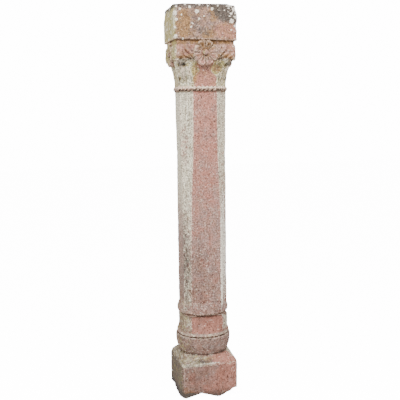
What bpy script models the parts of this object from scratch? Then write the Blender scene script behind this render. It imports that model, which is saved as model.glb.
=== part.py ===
"""A carved red sandstone column, cut from one stone.

From the ground up it has a rough plinth with a sloping top, a bowl-shaped torus, a short drum, a roll,
a chamfered square shaft, a cable moulding, a leaf-covered bell, a frieze with a flower on each side,
and a square abacus. The chamfers of the shaft grow wider towards the top.

The origin is the middle of the underside, +Z is up and the front faces -Y.
"""

import math

import bmesh
import bpy
from mathutils import Matrix

# Driving dimensions, in metres. A "half" is half the width across the flats.
PLINTH_HALF = 0.1495
PLINTH_HEIGHT = 0.182
PLINTH_TWIST = math.radians(1.8)
PLINTH_CORNER = 0.010
SLOPE_HEIGHT = 0.041
SLOPE_CUSHION = 1.9

TORUS_RADIUS = 0.1435
TORUS_FOOT_RADIUS = 0.127
TORUS_HEIGHT = 0.092
GROOVE_DEPTH = 0.008
GROOVE_HEIGHT = 0.005
FILLET_RADIUS = 0.1385
FILLET_HEIGHT = 0.016

DRUM_HALF = 0.1155
DRUM_HEIGHT = 0.096
DRUM_FLARE_HEIGHT = 0.062
ROLL_RADIUS = 0.1345
ROLL_HEIGHT = 0.070
ROLL_LIP = 0.011

SHAFT_FOOT_HALF = 0.1130
SHAFT_WAIST_HALF = 0.1140
SHAFT_TOP_HALF = 0.1200
SHAFT_FOOT_CHAMFER = 0.0315
SHAFT_WAIST_CHAMFER = 0.0400
SHAFT_TOP_CHAMFER = 0.0585
SHAFT_LENGTH = 1.081
ARRIS_WEAR = 0.0015

CABLE_RADIUS = 0.0105
CABLE_HEIGHT = 0.022
CABLE_STRANDS = 38
CABLE_TWIST_DEPTH = 0.0026

BELL_HALF = 0.1210
BELL_HEIGHT = 0.124
BELL_FLARE = 0.0115
BELL_LIP = 0.0120
BELL_TOP_CHAMFER = 0.018
LEAF_RELIEF = 0.0045
LEAF_GAP_FOOT = 0.0600
LEAF_GAP_WAIST = 0.0270
LEAF_GAP_TOP = 0.0400

FRIEZE_HALF = 0.1535
FRIEZE_HEIGHT = 0.080
FRIEZE_SCALLOP = 0.009
FRIEZE_RELIEF = 0.003
RECESS_DEPTH = 0.007
RECESS_HEIGHT = 0.019
ABACUS_HALF = 0.1585
ABACUS_HEIGHT = 0.172
ABACUS_SAG = 0.003
ABACUS_WEAR = 0.009
CAPITAL_CORNER = 0.014

PETALS = 8
FLOWER_RADIUS = 0.0630
FLOWER_RIM = 0.009
FLOWER_BOSS_RADIUS = 0.0145
FLOWER_BOSS_HEIGHT = 0.011
FLOWER_PARTING = 0.005
FLOWER_ROOT = 0.028
FLOWER_RISE = 0.038
FLOWER_SHIFT = -0.002

# Broken places of the plinth: x and y as shares of its half width, then the reach and the height lost.
FOOT_BREAKS = (
    (-0.32, -1.0, 0.090, 0.030),
    (-1.0, -1.0, 0.050, 0.014),
    (1.0, -1.0, 0.088, 0.043),
    (0.35, 1.0, 0.090, 0.018),
    (-1.0, 0.45, 0.060, 0.010),
)
EDGE_BREAKS = (
    (-1.0, -1.0, 0.260, 0.012),
    (-1.0, 1.0, 0.150, 0.016),
)
FOOT_INSET = 0.014
BREAK_DEPTH = 1.6

# Heights of the beds between the mouldings, stacked up from the ground.
TORUS_FOOT_Z = PLINTH_HEIGHT + SLOPE_HEIGHT
TORUS_TOP_Z = TORUS_FOOT_Z + TORUS_HEIGHT
FILLET_Z = TORUS_TOP_Z + GROOVE_HEIGHT
DRUM_Z = FILLET_Z + FILLET_HEIGHT
ROLL_Z = DRUM_Z + DRUM_HEIGHT
SHAFT_Z = ROLL_Z + ROLL_HEIGHT
CABLE_Z = SHAFT_Z + SHAFT_LENGTH
BELL_Z = CABLE_Z + CABLE_HEIGHT
FRIEZE_Z = BELL_Z + BELL_HEIGHT
RECESS_Z = FRIEZE_Z + FRIEZE_HEIGHT
ABACUS_Z = RECESS_Z + RECESS_HEIGHT
TOP_Z = ABACUS_Z + ABACUS_HEIGHT
FLOWER_Z = FRIEZE_Z + FLOWER_RISE

# How far a loft runs on inside its neighbour, and how much slimmer it is there.
SEAM_LAP = 0.012
SEAM_INSET = 0.004

# Stations of the shaft: the share of its length, then how far its half width and its chamfer have gone,
# from the foot's at 0 to the waist's at 1 and the top's at 2.
SHAFT_STATIONS = (
    (0.24, 0.2, 0.2),
    (0.50, 1.0, 1.0),
    (0.72, 1.2, 1.6),
    (0.87, 1.8, 1.9),
    (1.00, 2.0, 2.0),
)
SHAFT_END_SHARE = 0.7

# How the curved profiles run: powers of the height's share, and where a change starts and ends.
TORUS_SWELL = (math.radians(4.0), math.radians(112.0))
DRUM_FLARE_POWER = 1.5
DRUM_ROUND_POWER = 1.8
ROLL_FACETING = (0.25, 1.0)
BELL_FLARE_POWER = 1.6
BELL_LIP_POWER = 8
BELL_CHAMFER_POWER = 2.5
BELL_FOOT_SHARE = 0.37
BELL_ROUNDING = (0.2, 0.8)
LEAF_GROWTH = (0.20, 0.50)
LEAF_CURL_IN = (0.30, 0.62)
LEAF_CURL_OUT = (0.66, 0.95)
LOBE_SHARES = (0.30, 0.66, 0.96)
FRIEZE_ROOT_SHARE = 0.97

# Stations up each moulding, as counts or as shares of its height.
SLOPE_STATIONS = (0.30, 0.62)
TORUS_STEPS = 7
DRUM_STEPS = 4
ROLL_STEPS = 5
BELL_STATIONS = (0.05, 0.28, 0.38, 0.48, 0.58, 0.68, 0.80, 0.93)

# Facets of the cable and the flowers, with how deep a parting is at each step round a petal.
CABLE_STRAND_STEPS = 4
CABLE_FACETS = 6
CABLE_START = 0.4
CABLE_TURN = 0.3
PETAL_PARTING = (1.0, 0.25, 0.0, 0.25)
SHARP_ANGLE = math.radians(35)

# Stations across a quarter of a section, as shares of each stretch.
BODY_FACE = (0.0, 0.30, 0.60, 0.85, 1.0)
BODY_CHAMFER = (0.25, 0.5, 0.75)
CAPITAL_PANEL = (0.0, 0.5, 1.0)
CAPITAL_LEAF = (0.0, 0.14, 0.28, 0.42, 0.56, 0.70, 0.84, 1.0)
CAPITAL_CHAMFER = (0.5,)
LEAF_EDGE = 0.003


def mix(low, high, share):
    """The value that lies a share of the way from low to high."""
    return low + (high - low) * share


def smooth_step(start, end, value):
    """0 before start, 1 after end, and a smooth rise between them."""
    share = min(1.0, max(0.0, (value - start) / (end - start)))
    return share * share * (3.0 - 2.0 * share)


def staged(foot, waist, top, stage):
    """The value at the foot at 0, at the waist at 1 and at the top at 2, and those between them."""
    if stage <= 1.0:
        return mix(foot, waist, stage)
    return mix(waist, top, stage - 1.0)


def four_sides(quarter):
    """Turns the points of one quarter, from the +X face to the +Y face, into a whole ring."""
    ring = []
    for side in range(4):
        cosine, sine = (1, 0, -1, 0)[side], (0, 1, 0, -1)[side]
        ring += [(x * cosine - y * sine, x * sine + y * cosine) for x, y in quarter]
    return ring


def body_section(half, chamfer, roundness=0.0, radius=0.0, wear=ARRIS_WEAR):
    """A chamfered square that turns into a circle as the roundness goes from 0 to 1."""
    edge = half - chamfer
    near = [(half - (wear if share == 1.0 else 0.0), share * edge) for share in BODY_FACE]
    across = [(mix(half, edge, share), mix(edge, half, share)) for share in BODY_CHAMFER]
    far = [(y, x) for x, y in reversed(near)][:-1]
    points = []
    for x, y in near + across + far:
        reach = math.hypot(x, y)
        scale = mix(reach, radius, roundness) / reach
        points.append((x * scale, y * scale))
    return four_sides(points)


def at_height(section, height):
    """Lifts a flat section to its height."""
    return [(x, y, height) for x, y in section]


def break_height(breaks, x, y):
    """The height that the breaks of an edge take from it at a place."""
    lost = 0.0
    for share_x, share_y, reach, height in breaks:
        away = math.hypot(x - share_x * PLINTH_HALF, y - share_y * PLINTH_HALF)
        lost = max(lost, height * (1.0 - away / reach))
    return lost


def turned(section, angle):
    """The section turned about the column's axis."""
    cosine, sine = math.cos(angle), math.sin(angle)
    return [(x * cosine - y * sine, x * sine + y * cosine) for x, y in section]


def plinth_rings():
    """The rough block: a flat bearing, a broken lower edge, straight sides and a worn top edge."""
    def square(half):
        return turned(body_section(half, PLINTH_CORNER), PLINTH_TWIST)

    def worn_edge(section, height):
        return [(x, y, height - break_height(EDGE_BREAKS, x, y)) for x, y in section]

    bearing, broken = [], []
    for x, y in square(PLINTH_HALF):
        lost = break_height(FOOT_BREAKS, x, y)
        scale = 1.0 - (FOOT_INSET + BREAK_DEPTH * lost) / PLINTH_HALF
        bearing.append((x * scale, y * scale, 0.0))
        broken.append((x, y, lost))
    rings = [
        bearing,
        broken,
        at_height(square(PLINTH_HALF), 0.5 * PLINTH_HEIGHT),
        worn_edge(square(PLINTH_HALF), PLINTH_HEIGHT - 2 * ARRIS_WEAR),
        worn_edge(square(PLINTH_HALF - 2 * ARRIS_WEAR), PLINTH_HEIGHT + ARRIS_WEAR),
    ]
    foot = body_section(DRUM_HALF, SHAFT_FOOT_CHAMFER, 1.0, TORUS_FOOT_RADIUS)
    edge = worn_edge(square(PLINTH_HALF - 2 * ARRIS_WEAR), PLINTH_HEIGHT + ARRIS_WEAR)
    for share in SLOPE_STATIONS:
        inward = share ** SLOPE_CUSHION
        rings.append([
            (mix(x, foot_x, inward), mix(y, foot_y, inward), mix(z, TORUS_FOOT_Z, share))
            for (x, y, z), (foot_x, foot_y) in zip(edge, foot)
        ])
    return rings


def torus_rings():
    """The bowl-shaped torus, widest just below its top, with the groove over it and the fillet."""
    rings = []
    for step in range(TORUS_STEPS + 1):
        share = step / TORUS_STEPS
        rise = math.sin(mix(*TORUS_SWELL, share))
        radius = mix(TORUS_FOOT_RADIUS, TORUS_RADIUS, rise)
        rings.append((radius, mix(TORUS_FOOT_Z, TORUS_TOP_Z, share)))
    rings.append((TORUS_RADIUS - GROOVE_DEPTH, TORUS_TOP_Z))
    rings.append((FILLET_RADIUS - GROOVE_DEPTH, FILLET_Z))
    rings.append((FILLET_RADIUS, FILLET_Z + ARRIS_WEAR))
    rings.append((FILLET_RADIUS - ARRIS_WEAR, DRUM_Z))
    chamfer = SHAFT_FOOT_CHAMFER
    return [at_height(body_section(DRUM_HALF, chamfer, 1.0, radius), z) for radius, z in rings]


def drum_rings():
    """The short drum: it flares into the round fillet below and is faceted like the shaft above."""
    rings = []
    for step in range(1, DRUM_STEPS + 1):
        share = (step / DRUM_STEPS) ** DRUM_FLARE_POWER
        round_share = (1.0 - share) ** DRUM_ROUND_POWER
        height = DRUM_Z + share * DRUM_FLARE_HEIGHT
        section = body_section(DRUM_HALF, SHAFT_FOOT_CHAMFER, round_share, FILLET_RADIUS - ARRIS_WEAR)
        rings.append(at_height(section, height))
    rings.append(at_height(body_section(DRUM_HALF, SHAFT_FOOT_CHAMFER), ROLL_Z))
    return rings


def roll_rings():
    """The roll: a sharp round lip over the drum that dies into the faces of the shaft above."""
    lip = body_section(DRUM_HALF, SHAFT_FOOT_CHAMFER, 1.0, ROLL_RADIUS - 0.5 * ROLL_LIP)
    rings = [at_height(lip, ROLL_Z + ARRIS_WEAR)]
    for step in range(ROLL_STEPS + 1):
        share = step / ROLL_STEPS
        round_share = 1.0 - smooth_step(*ROLL_FACETING, share)
        half = mix(DRUM_HALF, SHAFT_FOOT_HALF, share)
        section = body_section(half, SHAFT_FOOT_CHAMFER, round_share, ROLL_RADIUS)
        rings.append(at_height(section, mix(ROLL_Z + ROLL_LIP, SHAFT_Z, share)))
    return rings


def shaft_rings():
    """The shaft, with chamfers that widen towards the cable moulding, and a slim end inside the bell."""
    rings = []
    for share, width_stage, chamfer_stage in SHAFT_STATIONS:
        half = staged(SHAFT_FOOT_HALF, SHAFT_WAIST_HALF, SHAFT_TOP_HALF, width_stage)
        chamfer = staged(SHAFT_FOOT_CHAMFER, SHAFT_WAIST_CHAMFER, SHAFT_TOP_CHAMFER, chamfer_stage)
        rings.append(at_height(body_section(half, chamfer), SHAFT_Z + share * SHAFT_LENGTH))
    end = body_section(SHAFT_TOP_HALF, SHAFT_TOP_CHAMFER)
    rings.append(at_height(end, CABLE_Z + SHAFT_END_SHARE * CABLE_HEIGHT))
    slim = body_section(SHAFT_TOP_HALF - SEAM_INSET, SHAFT_TOP_CHAMFER)
    rings.append(at_height(slim, BELL_Z + SEAM_LAP))
    return rings


def bell_half(share):
    """Half the width of the bell, from its foot at 0 to the frieze at 1."""
    return BELL_HALF + BELL_FLARE * share ** BELL_FLARE_POWER + BELL_LIP * share ** BELL_LIP_POWER


def bell_chamfer(share):
    """The chamfer of the bell, which closes towards the square corners above."""
    return mix(SHAFT_TOP_CHAMFER, BELL_TOP_CHAMFER, share ** BELL_CHAMFER_POWER)


def leaf_gap(share):
    """Half the width of the bare panel between two corner leaves, narrowest where they curl in."""
    waist = mix(LEAF_GAP_FOOT, LEAF_GAP_WAIST, smooth_step(*LEAF_CURL_IN, share))
    return mix(waist, LEAF_GAP_TOP, smooth_step(*LEAF_CURL_OUT, share))


def lobe(across, half):
    """The two lobes on each side of a flower: 0 at their ends and 1 in their middles."""
    start, middle, end = (share * half for share in LOBE_SHARES)
    if across <= start or across >= end:
        return 0.0
    low, high = (start, middle) if across < middle else (middle, end)
    return math.sin(math.pi * (across - low) / (high - low))


def capital_section(half, chamfer, gap, relief, lift=0.0, carve=0.0, rounding=1.0):
    """A section of the capital as points in space above its bed.

    The bare panel reaches to the gap, and past it the corner leaf stands proud by the relief. The lobes
    lift the section by lift and push it out by carve. The rounding turns the chamfer into an arc.
    """
    edge = half - chamfer
    near = [(half, share * gap) for share in CAPITAL_PANEL]
    start = min(gap + LEAF_EDGE, edge - LEAF_EDGE)
    near += [(half + relief, mix(start, edge, share)) for share in CAPITAL_LEAF]
    near = [(x + carve * lobe(y, half), y, lift * lobe(y, half)) for x, y in near]
    across = []
    for share in CAPITAL_CHAMFER:
        x, y = mix(half, edge, share), mix(edge, half, share)
        out = relief * math.sqrt(0.5) + rounding * chamfer * (math.sqrt(0.5) - 0.5)
        across.append((x + out, y + out, 0.0))
    far = [(y, x, rise) for x, y, rise in reversed(near)][:-1]
    quarter = near + across + far
    flat = four_sides([(x, y) for x, y, _ in quarter])
    return [(x, y, quarter[index % len(quarter)][2]) for index, (x, y) in enumerate(flat)]


def lifted(section, height):
    """A capital section at its bed."""
    return [(x, y, height + rise) for x, y, rise in section]


def bell_rings():
    """The bell with its four corner leaves, from inside the cable moulding to the frieze."""
    foot = capital_section(BELL_HALF, SHAFT_TOP_CHAMFER, LEAF_GAP_FOOT - LEAF_EDGE, 0.0, rounding=0.0)
    rings = [lifted(foot, CABLE_Z + BELL_FOOT_SHARE * CABLE_HEIGHT)]
    for share in BELL_STATIONS:
        relief = LEAF_RELIEF * smooth_step(*LEAF_GROWTH, share)
        gap = min(leaf_gap(share), bell_half(share) - bell_chamfer(share) - 3 * LEAF_EDGE)
        rounding = smooth_step(*BELL_ROUNDING, share)
        section = capital_section(bell_half(share), bell_chamfer(share), gap, relief, rounding=rounding)
        rings.append(lifted(section, BELL_Z + share * BELL_HEIGHT))
    return rings


def frieze_rings():
    """The frieze: a cushion with two lobes on each side of a flower and a scalloped lower edge."""
    root = capital_section(bell_half(FRIEZE_ROOT_SHARE), BELL_TOP_CHAMFER, LEAF_GAP_TOP, 0.0, FRIEZE_SCALLOP)
    rings = [lifted(root, FRIEZE_Z + ARRIS_WEAR)]
    profile = (  # share of the height, how far the face lies back, then how much the lobes lift and push out
        (0.00, 2 * ARRIS_WEAR, 1.0, 0.3),
        (0.10, 0.0, 0.9, 0.8),
        (0.35, 0.0, 0.6, 1.0),
        (0.65, 0.0, 0.3, 0.8),
        (0.88, 0.2 * RECESS_DEPTH, 0.0, 0.3),
        (0.98, 0.5 * RECESS_DEPTH, 0.0, 0.0),
        (1.00, RECESS_DEPTH, 0.0, 0.0),
    )
    for share, back, lift, carve in profile:
        half, scallop, relief = FRIEZE_HALF - back, lift * FRIEZE_SCALLOP, carve * FRIEZE_RELIEF
        section = capital_section(half, CAPITAL_CORNER, LEAF_GAP_TOP, 0.0, scallop, relief)
        rings.append(lifted(section, FRIEZE_Z + share * FRIEZE_HEIGHT))
    return rings


def abacus_rings():
    """The recess over the frieze and the plain square block, with worn edges and a lower edge that sags."""
    profile = (  # half width, height and sag
        (FRIEZE_HALF - RECESS_DEPTH, ABACUS_Z - ARRIS_WEAR, ABACUS_SAG),
        (ABACUS_HALF - 2 * ARRIS_WEAR, ABACUS_Z, ABACUS_SAG),
        (ABACUS_HALF, ABACUS_Z + 2 * ARRIS_WEAR, ABACUS_SAG),
        (ABACUS_HALF, TOP_Z - ABACUS_WEAR, 0.0),
        (ABACUS_HALF - 0.3 * ABACUS_WEAR, TOP_Z - 0.3 * ABACUS_WEAR, 0.0),
        (ABACUS_HALF - ABACUS_WEAR, TOP_Z, 0.0),
    )
    rings = []
    for half, height, sag in profile:
        section = capital_section(half, CAPITAL_CORNER, LEAF_GAP_TOP, 0.0)
        rings.append([(x, y, height - sag * x / half) for x, y, _ in section])
    return rings


def new_object(name, mesh_data, collection):
    """Wraps a bmesh in a named object, shaded smooth between its sharp edges."""
    mesh = bpy.data.meshes.new(name)
    mesh_data.to_mesh(mesh)
    mesh_data.free()
    mesh.shade_smooth()
    mesh.set_sharp_from_angle(angle=SHARP_ANGLE)
    built = bpy.data.objects.new(name, mesh)
    collection.objects.link(built)
    return built


def loft(name, rings, collection):
    """Skins the rings, which are listed from the lowest up, and closes both ends flat."""
    mesh_data = bmesh.new()
    rows = [[mesh_data.verts.new(point) for point in ring] for ring in rings]
    count = len(rows[0])
    for lower, upper in zip(rows, rows[1:]):
        for index in range(count):
            after = (index + 1) % count
            mesh_data.faces.new((lower[index], lower[after], upper[after], upper[index]))
    mesh_data.faces.new(tuple(reversed(rows[0])))
    mesh_data.faces.new(tuple(rows[-1]))
    return new_object(name, mesh_data, collection)


def walk_around(section, count):
    """Evenly spaced points along a closed section, each with its outward normal."""
    loop = section + section[:1]
    lengths = [math.dist(a, b) for a, b in zip(loop, loop[1:])]
    total = sum(lengths)
    places = []
    for step in range(count):
        left = total * (step + CABLE_START) / count
        side = 0
        while left > lengths[side]:
            left -= lengths[side]
            side += 1
        (ax, ay), (bx, by) = loop[side], loop[side + 1]
        share = left / lengths[side]
        normal = ((by - ay) / lengths[side], (ax - bx) / lengths[side])
        places.append(((mix(ax, bx, share), mix(ay, by, share)), normal))
    return places


def cable(collection):
    """The twisted cable moulding: a tube round the neck, cut by slanting grooves between its strands."""
    around = CABLE_STRAND_STEPS * CABLE_STRANDS
    section = body_section(SHAFT_TOP_HALF, SHAFT_TOP_CHAMFER)
    middle = CABLE_Z + 0.5 * CABLE_HEIGHT
    mesh_data = bmesh.new()
    rows = []
    for step, ((x, y), (nx, ny)) in enumerate(walk_around(section, around)):
        row = []
        for turn in range(CABLE_FACETS):
            angle = 2 * math.pi * (turn + CABLE_TURN) / CABLE_FACETS
            strand = math.cos(2 * math.pi * CABLE_STRANDS * step / around - angle)
            reach = CABLE_RADIUS - CABLE_TWIST_DEPTH * (0.5 - 0.5 * strand)
            out = reach * math.cos(angle)
            row.append(mesh_data.verts.new((x + nx * out, y + ny * out, middle + reach * math.sin(angle))))
        rows.append(row)
    for step in range(around):
        this, following = rows[step], rows[(step + 1) % around]
        for turn in range(CABLE_FACETS):
            after = (turn + 1) % CABLE_FACETS
            mesh_data.faces.new((this[turn], following[turn], following[after], this[after]))
    return new_object("cable_moulding", mesh_data, collection)


def flower(name, side, collection):
    """One eight-petalled flower with a domed boss, standing on the frieze and rooted in the bell."""
    around = PETALS * len(PETAL_PARTING)
    rings = (  # radius and height on the petals, then how much the partings lower and draw in the ring
        (0.55 * FLOWER_BOSS_RADIUS, 0.85 * FLOWER_BOSS_HEIGHT, 0.0, 0.0),
        (FLOWER_BOSS_RADIUS, 0.35 * FLOWER_BOSS_HEIGHT, 0.0, 0.0),
        (1.08 * FLOWER_BOSS_RADIUS, -0.002, 0.0, 0.0),
        (0.55 * FLOWER_RADIUS, 0.45 * FLOWER_RIM, FLOWER_PARTING, 0.0),
        (0.86 * FLOWER_RADIUS, FLOWER_RIM, FLOWER_PARTING, 0.03),
        (0.98 * FLOWER_RADIUS, 0.5 * FLOWER_RIM, 0.6 * FLOWER_PARTING, 0.08),
        (FLOWER_RADIUS, -FLOWER_ROOT, 0.0, 0.09),
    )
    mesh_data = bmesh.new()
    tip = mesh_data.verts.new((0.0, 0.0, FLOWER_BOSS_HEIGHT))
    rows = []
    for radius, height, parting, draw in rings:
        row = []
        for step in range(around):
            depth = PETAL_PARTING[step % len(PETAL_PARTING)]
            angle = 2 * math.pi * step / around
            reach = radius * (1.0 - draw * depth)
            place = (reach * math.cos(angle), reach * math.sin(angle), height - parting * depth)
            row.append(mesh_data.verts.new(place))
        rows.append(row)
    for step in range(around):
        after = (step + 1) % around
        mesh_data.faces.new((tip, rows[0][step], rows[0][after]))
        for inner, outer in zip(rows, rows[1:]):
            mesh_data.faces.new((inner[step], outer[step], outer[after], inner[after]))
    mesh_data.faces.new(tuple(reversed(rows[-1])))
    built = new_object(name, mesh_data, collection)
    upright = Matrix.Rotation(math.radians(90), 4, "X")
    place = Matrix.Translation((FLOWER_SHIFT, -FRIEZE_HALF, FLOWER_Z))
    built.matrix_world = Matrix.Rotation(side * math.radians(90), 4, "Z") @ place @ upright
    return built


def sandstone():
    """The weathered red sandstone that the whole column is cut from."""
    stone = bpy.data.materials.new("red_sandstone")
    stone.use_nodes = True
    shader = stone.node_tree.nodes["Principled BSDF"]
    shader.inputs["Base Color"].default_value = (0.42, 0.25, 0.20, 1.0)
    shader.inputs["Roughness"].default_value = 0.9
    shader.inputs["Metallic"].default_value = 0.0
    return stone


def unite(body, added):
    """Joins the other carved masses to the body, as one stone."""
    for piece in added:
        piece.hide_render = True
        piece.display_type = "WIRE"
        union = body.modifiers.new(piece.name, "BOOLEAN")
        union.operation = "UNION"
        union.solver = "EXACT"
        union.object = piece
    facets = body.modifiers.new("facets", "TRIANGULATE")
    facets.quad_method = "BEAUTY"
    facets.ngon_method = "BEAUTY"


def main():
    """Builds the column as one named object."""
    for leftover in list(bpy.data.objects):
        bpy.data.objects.remove(leftover)
    stones = bpy.data.collections.new("stone_column")
    masses = bpy.data.collections.new("carved_masses")
    for collection in (stones, masses):
        bpy.context.scene.collection.children.link(collection)
    body_rings = plinth_rings() + torus_rings() + drum_rings() + roll_rings() + shaft_rings()
    column = loft("column", body_rings, stones)
    column.data.materials.append(sandstone())
    capital = loft("capital_mass", bell_rings() + frieze_rings() + abacus_rings(), masses)
    flowers = [flower(f"flower_mass_{side}", side, masses) for side in range(4)]
    unite(column, [capital, cable(masses), *flowers])


main()
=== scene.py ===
"""Dresses the carved red sandstone column in its weathered skin and sets it in a plain pale studio.

The column is one stone. Its skin is made in three closed lengths that run on inside each other at natural
creases, under the roll and behind the cable moulding, so that each mesh can carry fine relief. The flowers
and the cable moulding are cut from the same stone and sit in that skin. Everything keeps the form of the
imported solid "column", in metres, with the front facing -Y.
"""

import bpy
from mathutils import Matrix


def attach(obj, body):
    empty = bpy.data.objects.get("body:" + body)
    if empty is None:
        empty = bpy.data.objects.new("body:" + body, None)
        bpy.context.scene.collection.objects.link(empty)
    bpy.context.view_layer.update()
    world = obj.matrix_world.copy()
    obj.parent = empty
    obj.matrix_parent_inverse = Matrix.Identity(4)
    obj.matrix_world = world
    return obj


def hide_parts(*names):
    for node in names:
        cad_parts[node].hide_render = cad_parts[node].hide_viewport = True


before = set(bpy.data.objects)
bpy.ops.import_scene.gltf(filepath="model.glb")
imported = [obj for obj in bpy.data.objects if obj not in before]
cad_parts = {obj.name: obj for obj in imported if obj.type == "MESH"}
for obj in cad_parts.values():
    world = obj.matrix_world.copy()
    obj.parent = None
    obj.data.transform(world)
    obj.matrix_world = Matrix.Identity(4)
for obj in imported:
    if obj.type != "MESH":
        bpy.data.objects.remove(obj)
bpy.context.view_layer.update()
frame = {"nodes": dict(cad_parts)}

import logging
import math
from abc import ABC, abstractmethod
from dataclasses import asdict, dataclass
from enum import Enum

import bpy
import numpy as np
from mathutils import Matrix, Vector

LOG = logging.getLogger("stone_column")
SEED = 41

Array = np.ndarray
Colour = tuple[float, float, float, float]
Tree = bpy.types.NodeTree
Rows = tuple[tuple[float, ...], ...]


class Stain(Enum):
    """What lies on the stone or colours it, each kept as an attribute of the mesh. The lichen, damp and grime
    attributes also carry painted highlight and painted shade in places.
    """

    ROSE = "rose"
    OCHRE = "ochre"
    LICHEN = "lichen"
    ALGAE = "algae"
    DAMP = "damp"
    GRIME = "grime"
    CRUST = "crust"
    SPECKLE = "speckle"


def mix(low: float, high: float, share: float) -> float:
    """The value that lies a share of the way from low to high, for numbers and arrays alike."""
    return low + (high - low) * share


def rise(start: float, end: float, value: Array) -> Array:
    """0 before start, 1 after end, and a smooth rise between them."""
    share = np.clip((value - start) / (end - start), 0.0, 1.0)
    return share * share * (3.0 - 2.0 * share)


def fall(start: float, end: float, value: Array) -> Array:
    """1 before start, 0 after end, and a smooth fall between them."""
    return 1.0 - rise(start, end, value)


def near(points: Array, place: tuple[float, ...], reach: tuple[float, ...], core: float) -> Array:
    """1 within a share, the core, of the reach of a place, falling to 0 at the reach."""
    return fall(core, 1.0, np.linalg.norm((points - np.array(place)) / np.array(reach), axis=1))


def faces(points: Array) -> tuple[tuple[Array, Array], ...]:
    """The points as each side sees them, front first: how far across it and how far out."""
    x, y, _ = points.T
    return (x, -y), (y, x), (-x, y), (-y, -x)


def label(name: str) -> str:
    """A field's name as the name of a socket, such as Chip Size for chip_size."""
    return name.replace("_", " ").title()


def at_height(ring: Array, height: float) -> Array:
    """A copy of the ring lifted by a height, or by one height for each point.

    Args:
        ring: The ring's points.
        height: How far they are lifted.

    Returns:
        The lifted ring.
    """
    lifted = ring.copy()
    lifted[:, 2] += height
    return lifted


def whole_ring(half_face: Array, chamfer: Array) -> Array:
    """Mirrors and turns half a face and a chamfer into a whole ring.

    Args:
        half_face: Points from the middle of the +X face to its arris, as rows of x, y and z.
        chamfer: The points inside the chamfer beside it.

    Returns:
        The ring's points, anticlockwise seen from above.
    """
    x, y, z = np.vstack([half_face, chamfer, half_face[::-1][:-1, [1, 0, 2]]]).T
    return np.vstack([
        np.column_stack([x * cosine - y * sine, x * sine + y * cosine, z])
        for cosine, sine in ((1, 0), (0, 1), (-1, 0), (0, -1))
    ])


def densify(rings: list[Array], spacing: float) -> Array:
    """Adds rings between those given, so that neighbours lie no further apart than the spacing.

    Args:
        rings: Rings with the same number of points, from the lowest up.
        spacing: The widest mean distance between two rings.

    Returns:
        An array of rings, points and coordinates.
    """
    dense = []
    for lower, upper in zip(rings, rings[1:]):
        apart = float(np.linalg.norm((upper - lower)[:, :3], axis=1).mean())
        steps = max(1, math.ceil(apart / spacing))
        dense += [mix(lower, upper, step / steps) for step in range(steps)]
    return np.array(dense + [rings[-1]])


def put_up(name: str, data: bpy.types.ID) -> bpy.types.Object:
    """Puts a new object with that data in the scene.

    Args:
        name: The object's name.
        data: Its mesh, light or camera.

    Returns:
        The new object.
    """
    made = bpy.data.objects.new(name, data)
    bpy.context.scene.collection.objects.link(made)
    return made


@dataclass(frozen=True)
class Stations:
    """How many stretches a section is cut into: across a panel, the rest of the face, and a chamfer."""

    panel: int
    leaf: int
    chamfer: int

    def across(self) -> Array:
        """Shares inside a chamfer."""
        return np.linspace(0.0, 1.0, self.chamfer + 1)[1:-1]

    def chamfer_mask(self) -> Array:
        """1 for the points of a ring that lie on a chamfer, and 0 for the others."""
        half_face = np.r_[np.zeros(self.panel + self.leaf), 1.0]
        return np.tile(np.r_[half_face, np.ones(self.chamfer - 1), half_face[::-1][:-1]], 4)

    def ring(self, half: float, chamfer: float, z: float = 0.0, roundness: float = 0.0,
             radius: float = 0.0) -> Array:
        """A chamfered square that turns into a circle.

        Args:
            half: Half the width across the flats.
            chamfer: What the chamfer takes from each face.
            z: The ring's height.
            roundness: 0 for the chamfered square, 1 for the circle.
            radius: The circle's radius.

        Returns:
            The ring's points.
        """
        edge, across = half - chamfer, self.across()
        face = np.linspace(0.0, 1.0, self.panel + self.leaf + 1) * edge
        half_face = np.column_stack([np.full_like(face, half), face, 0.0 * face])
        cut = np.column_stack([mix(half, edge, across), mix(edge, half, across), 0.0 * across])
        ring = whole_ring(half_face, cut)
        reach = np.hypot(ring[:, 0], ring[:, 1])
        ring[:, :2] *= (mix(reach, radius, roundness) / reach)[:, None]
        return at_height(ring, z)


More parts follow.
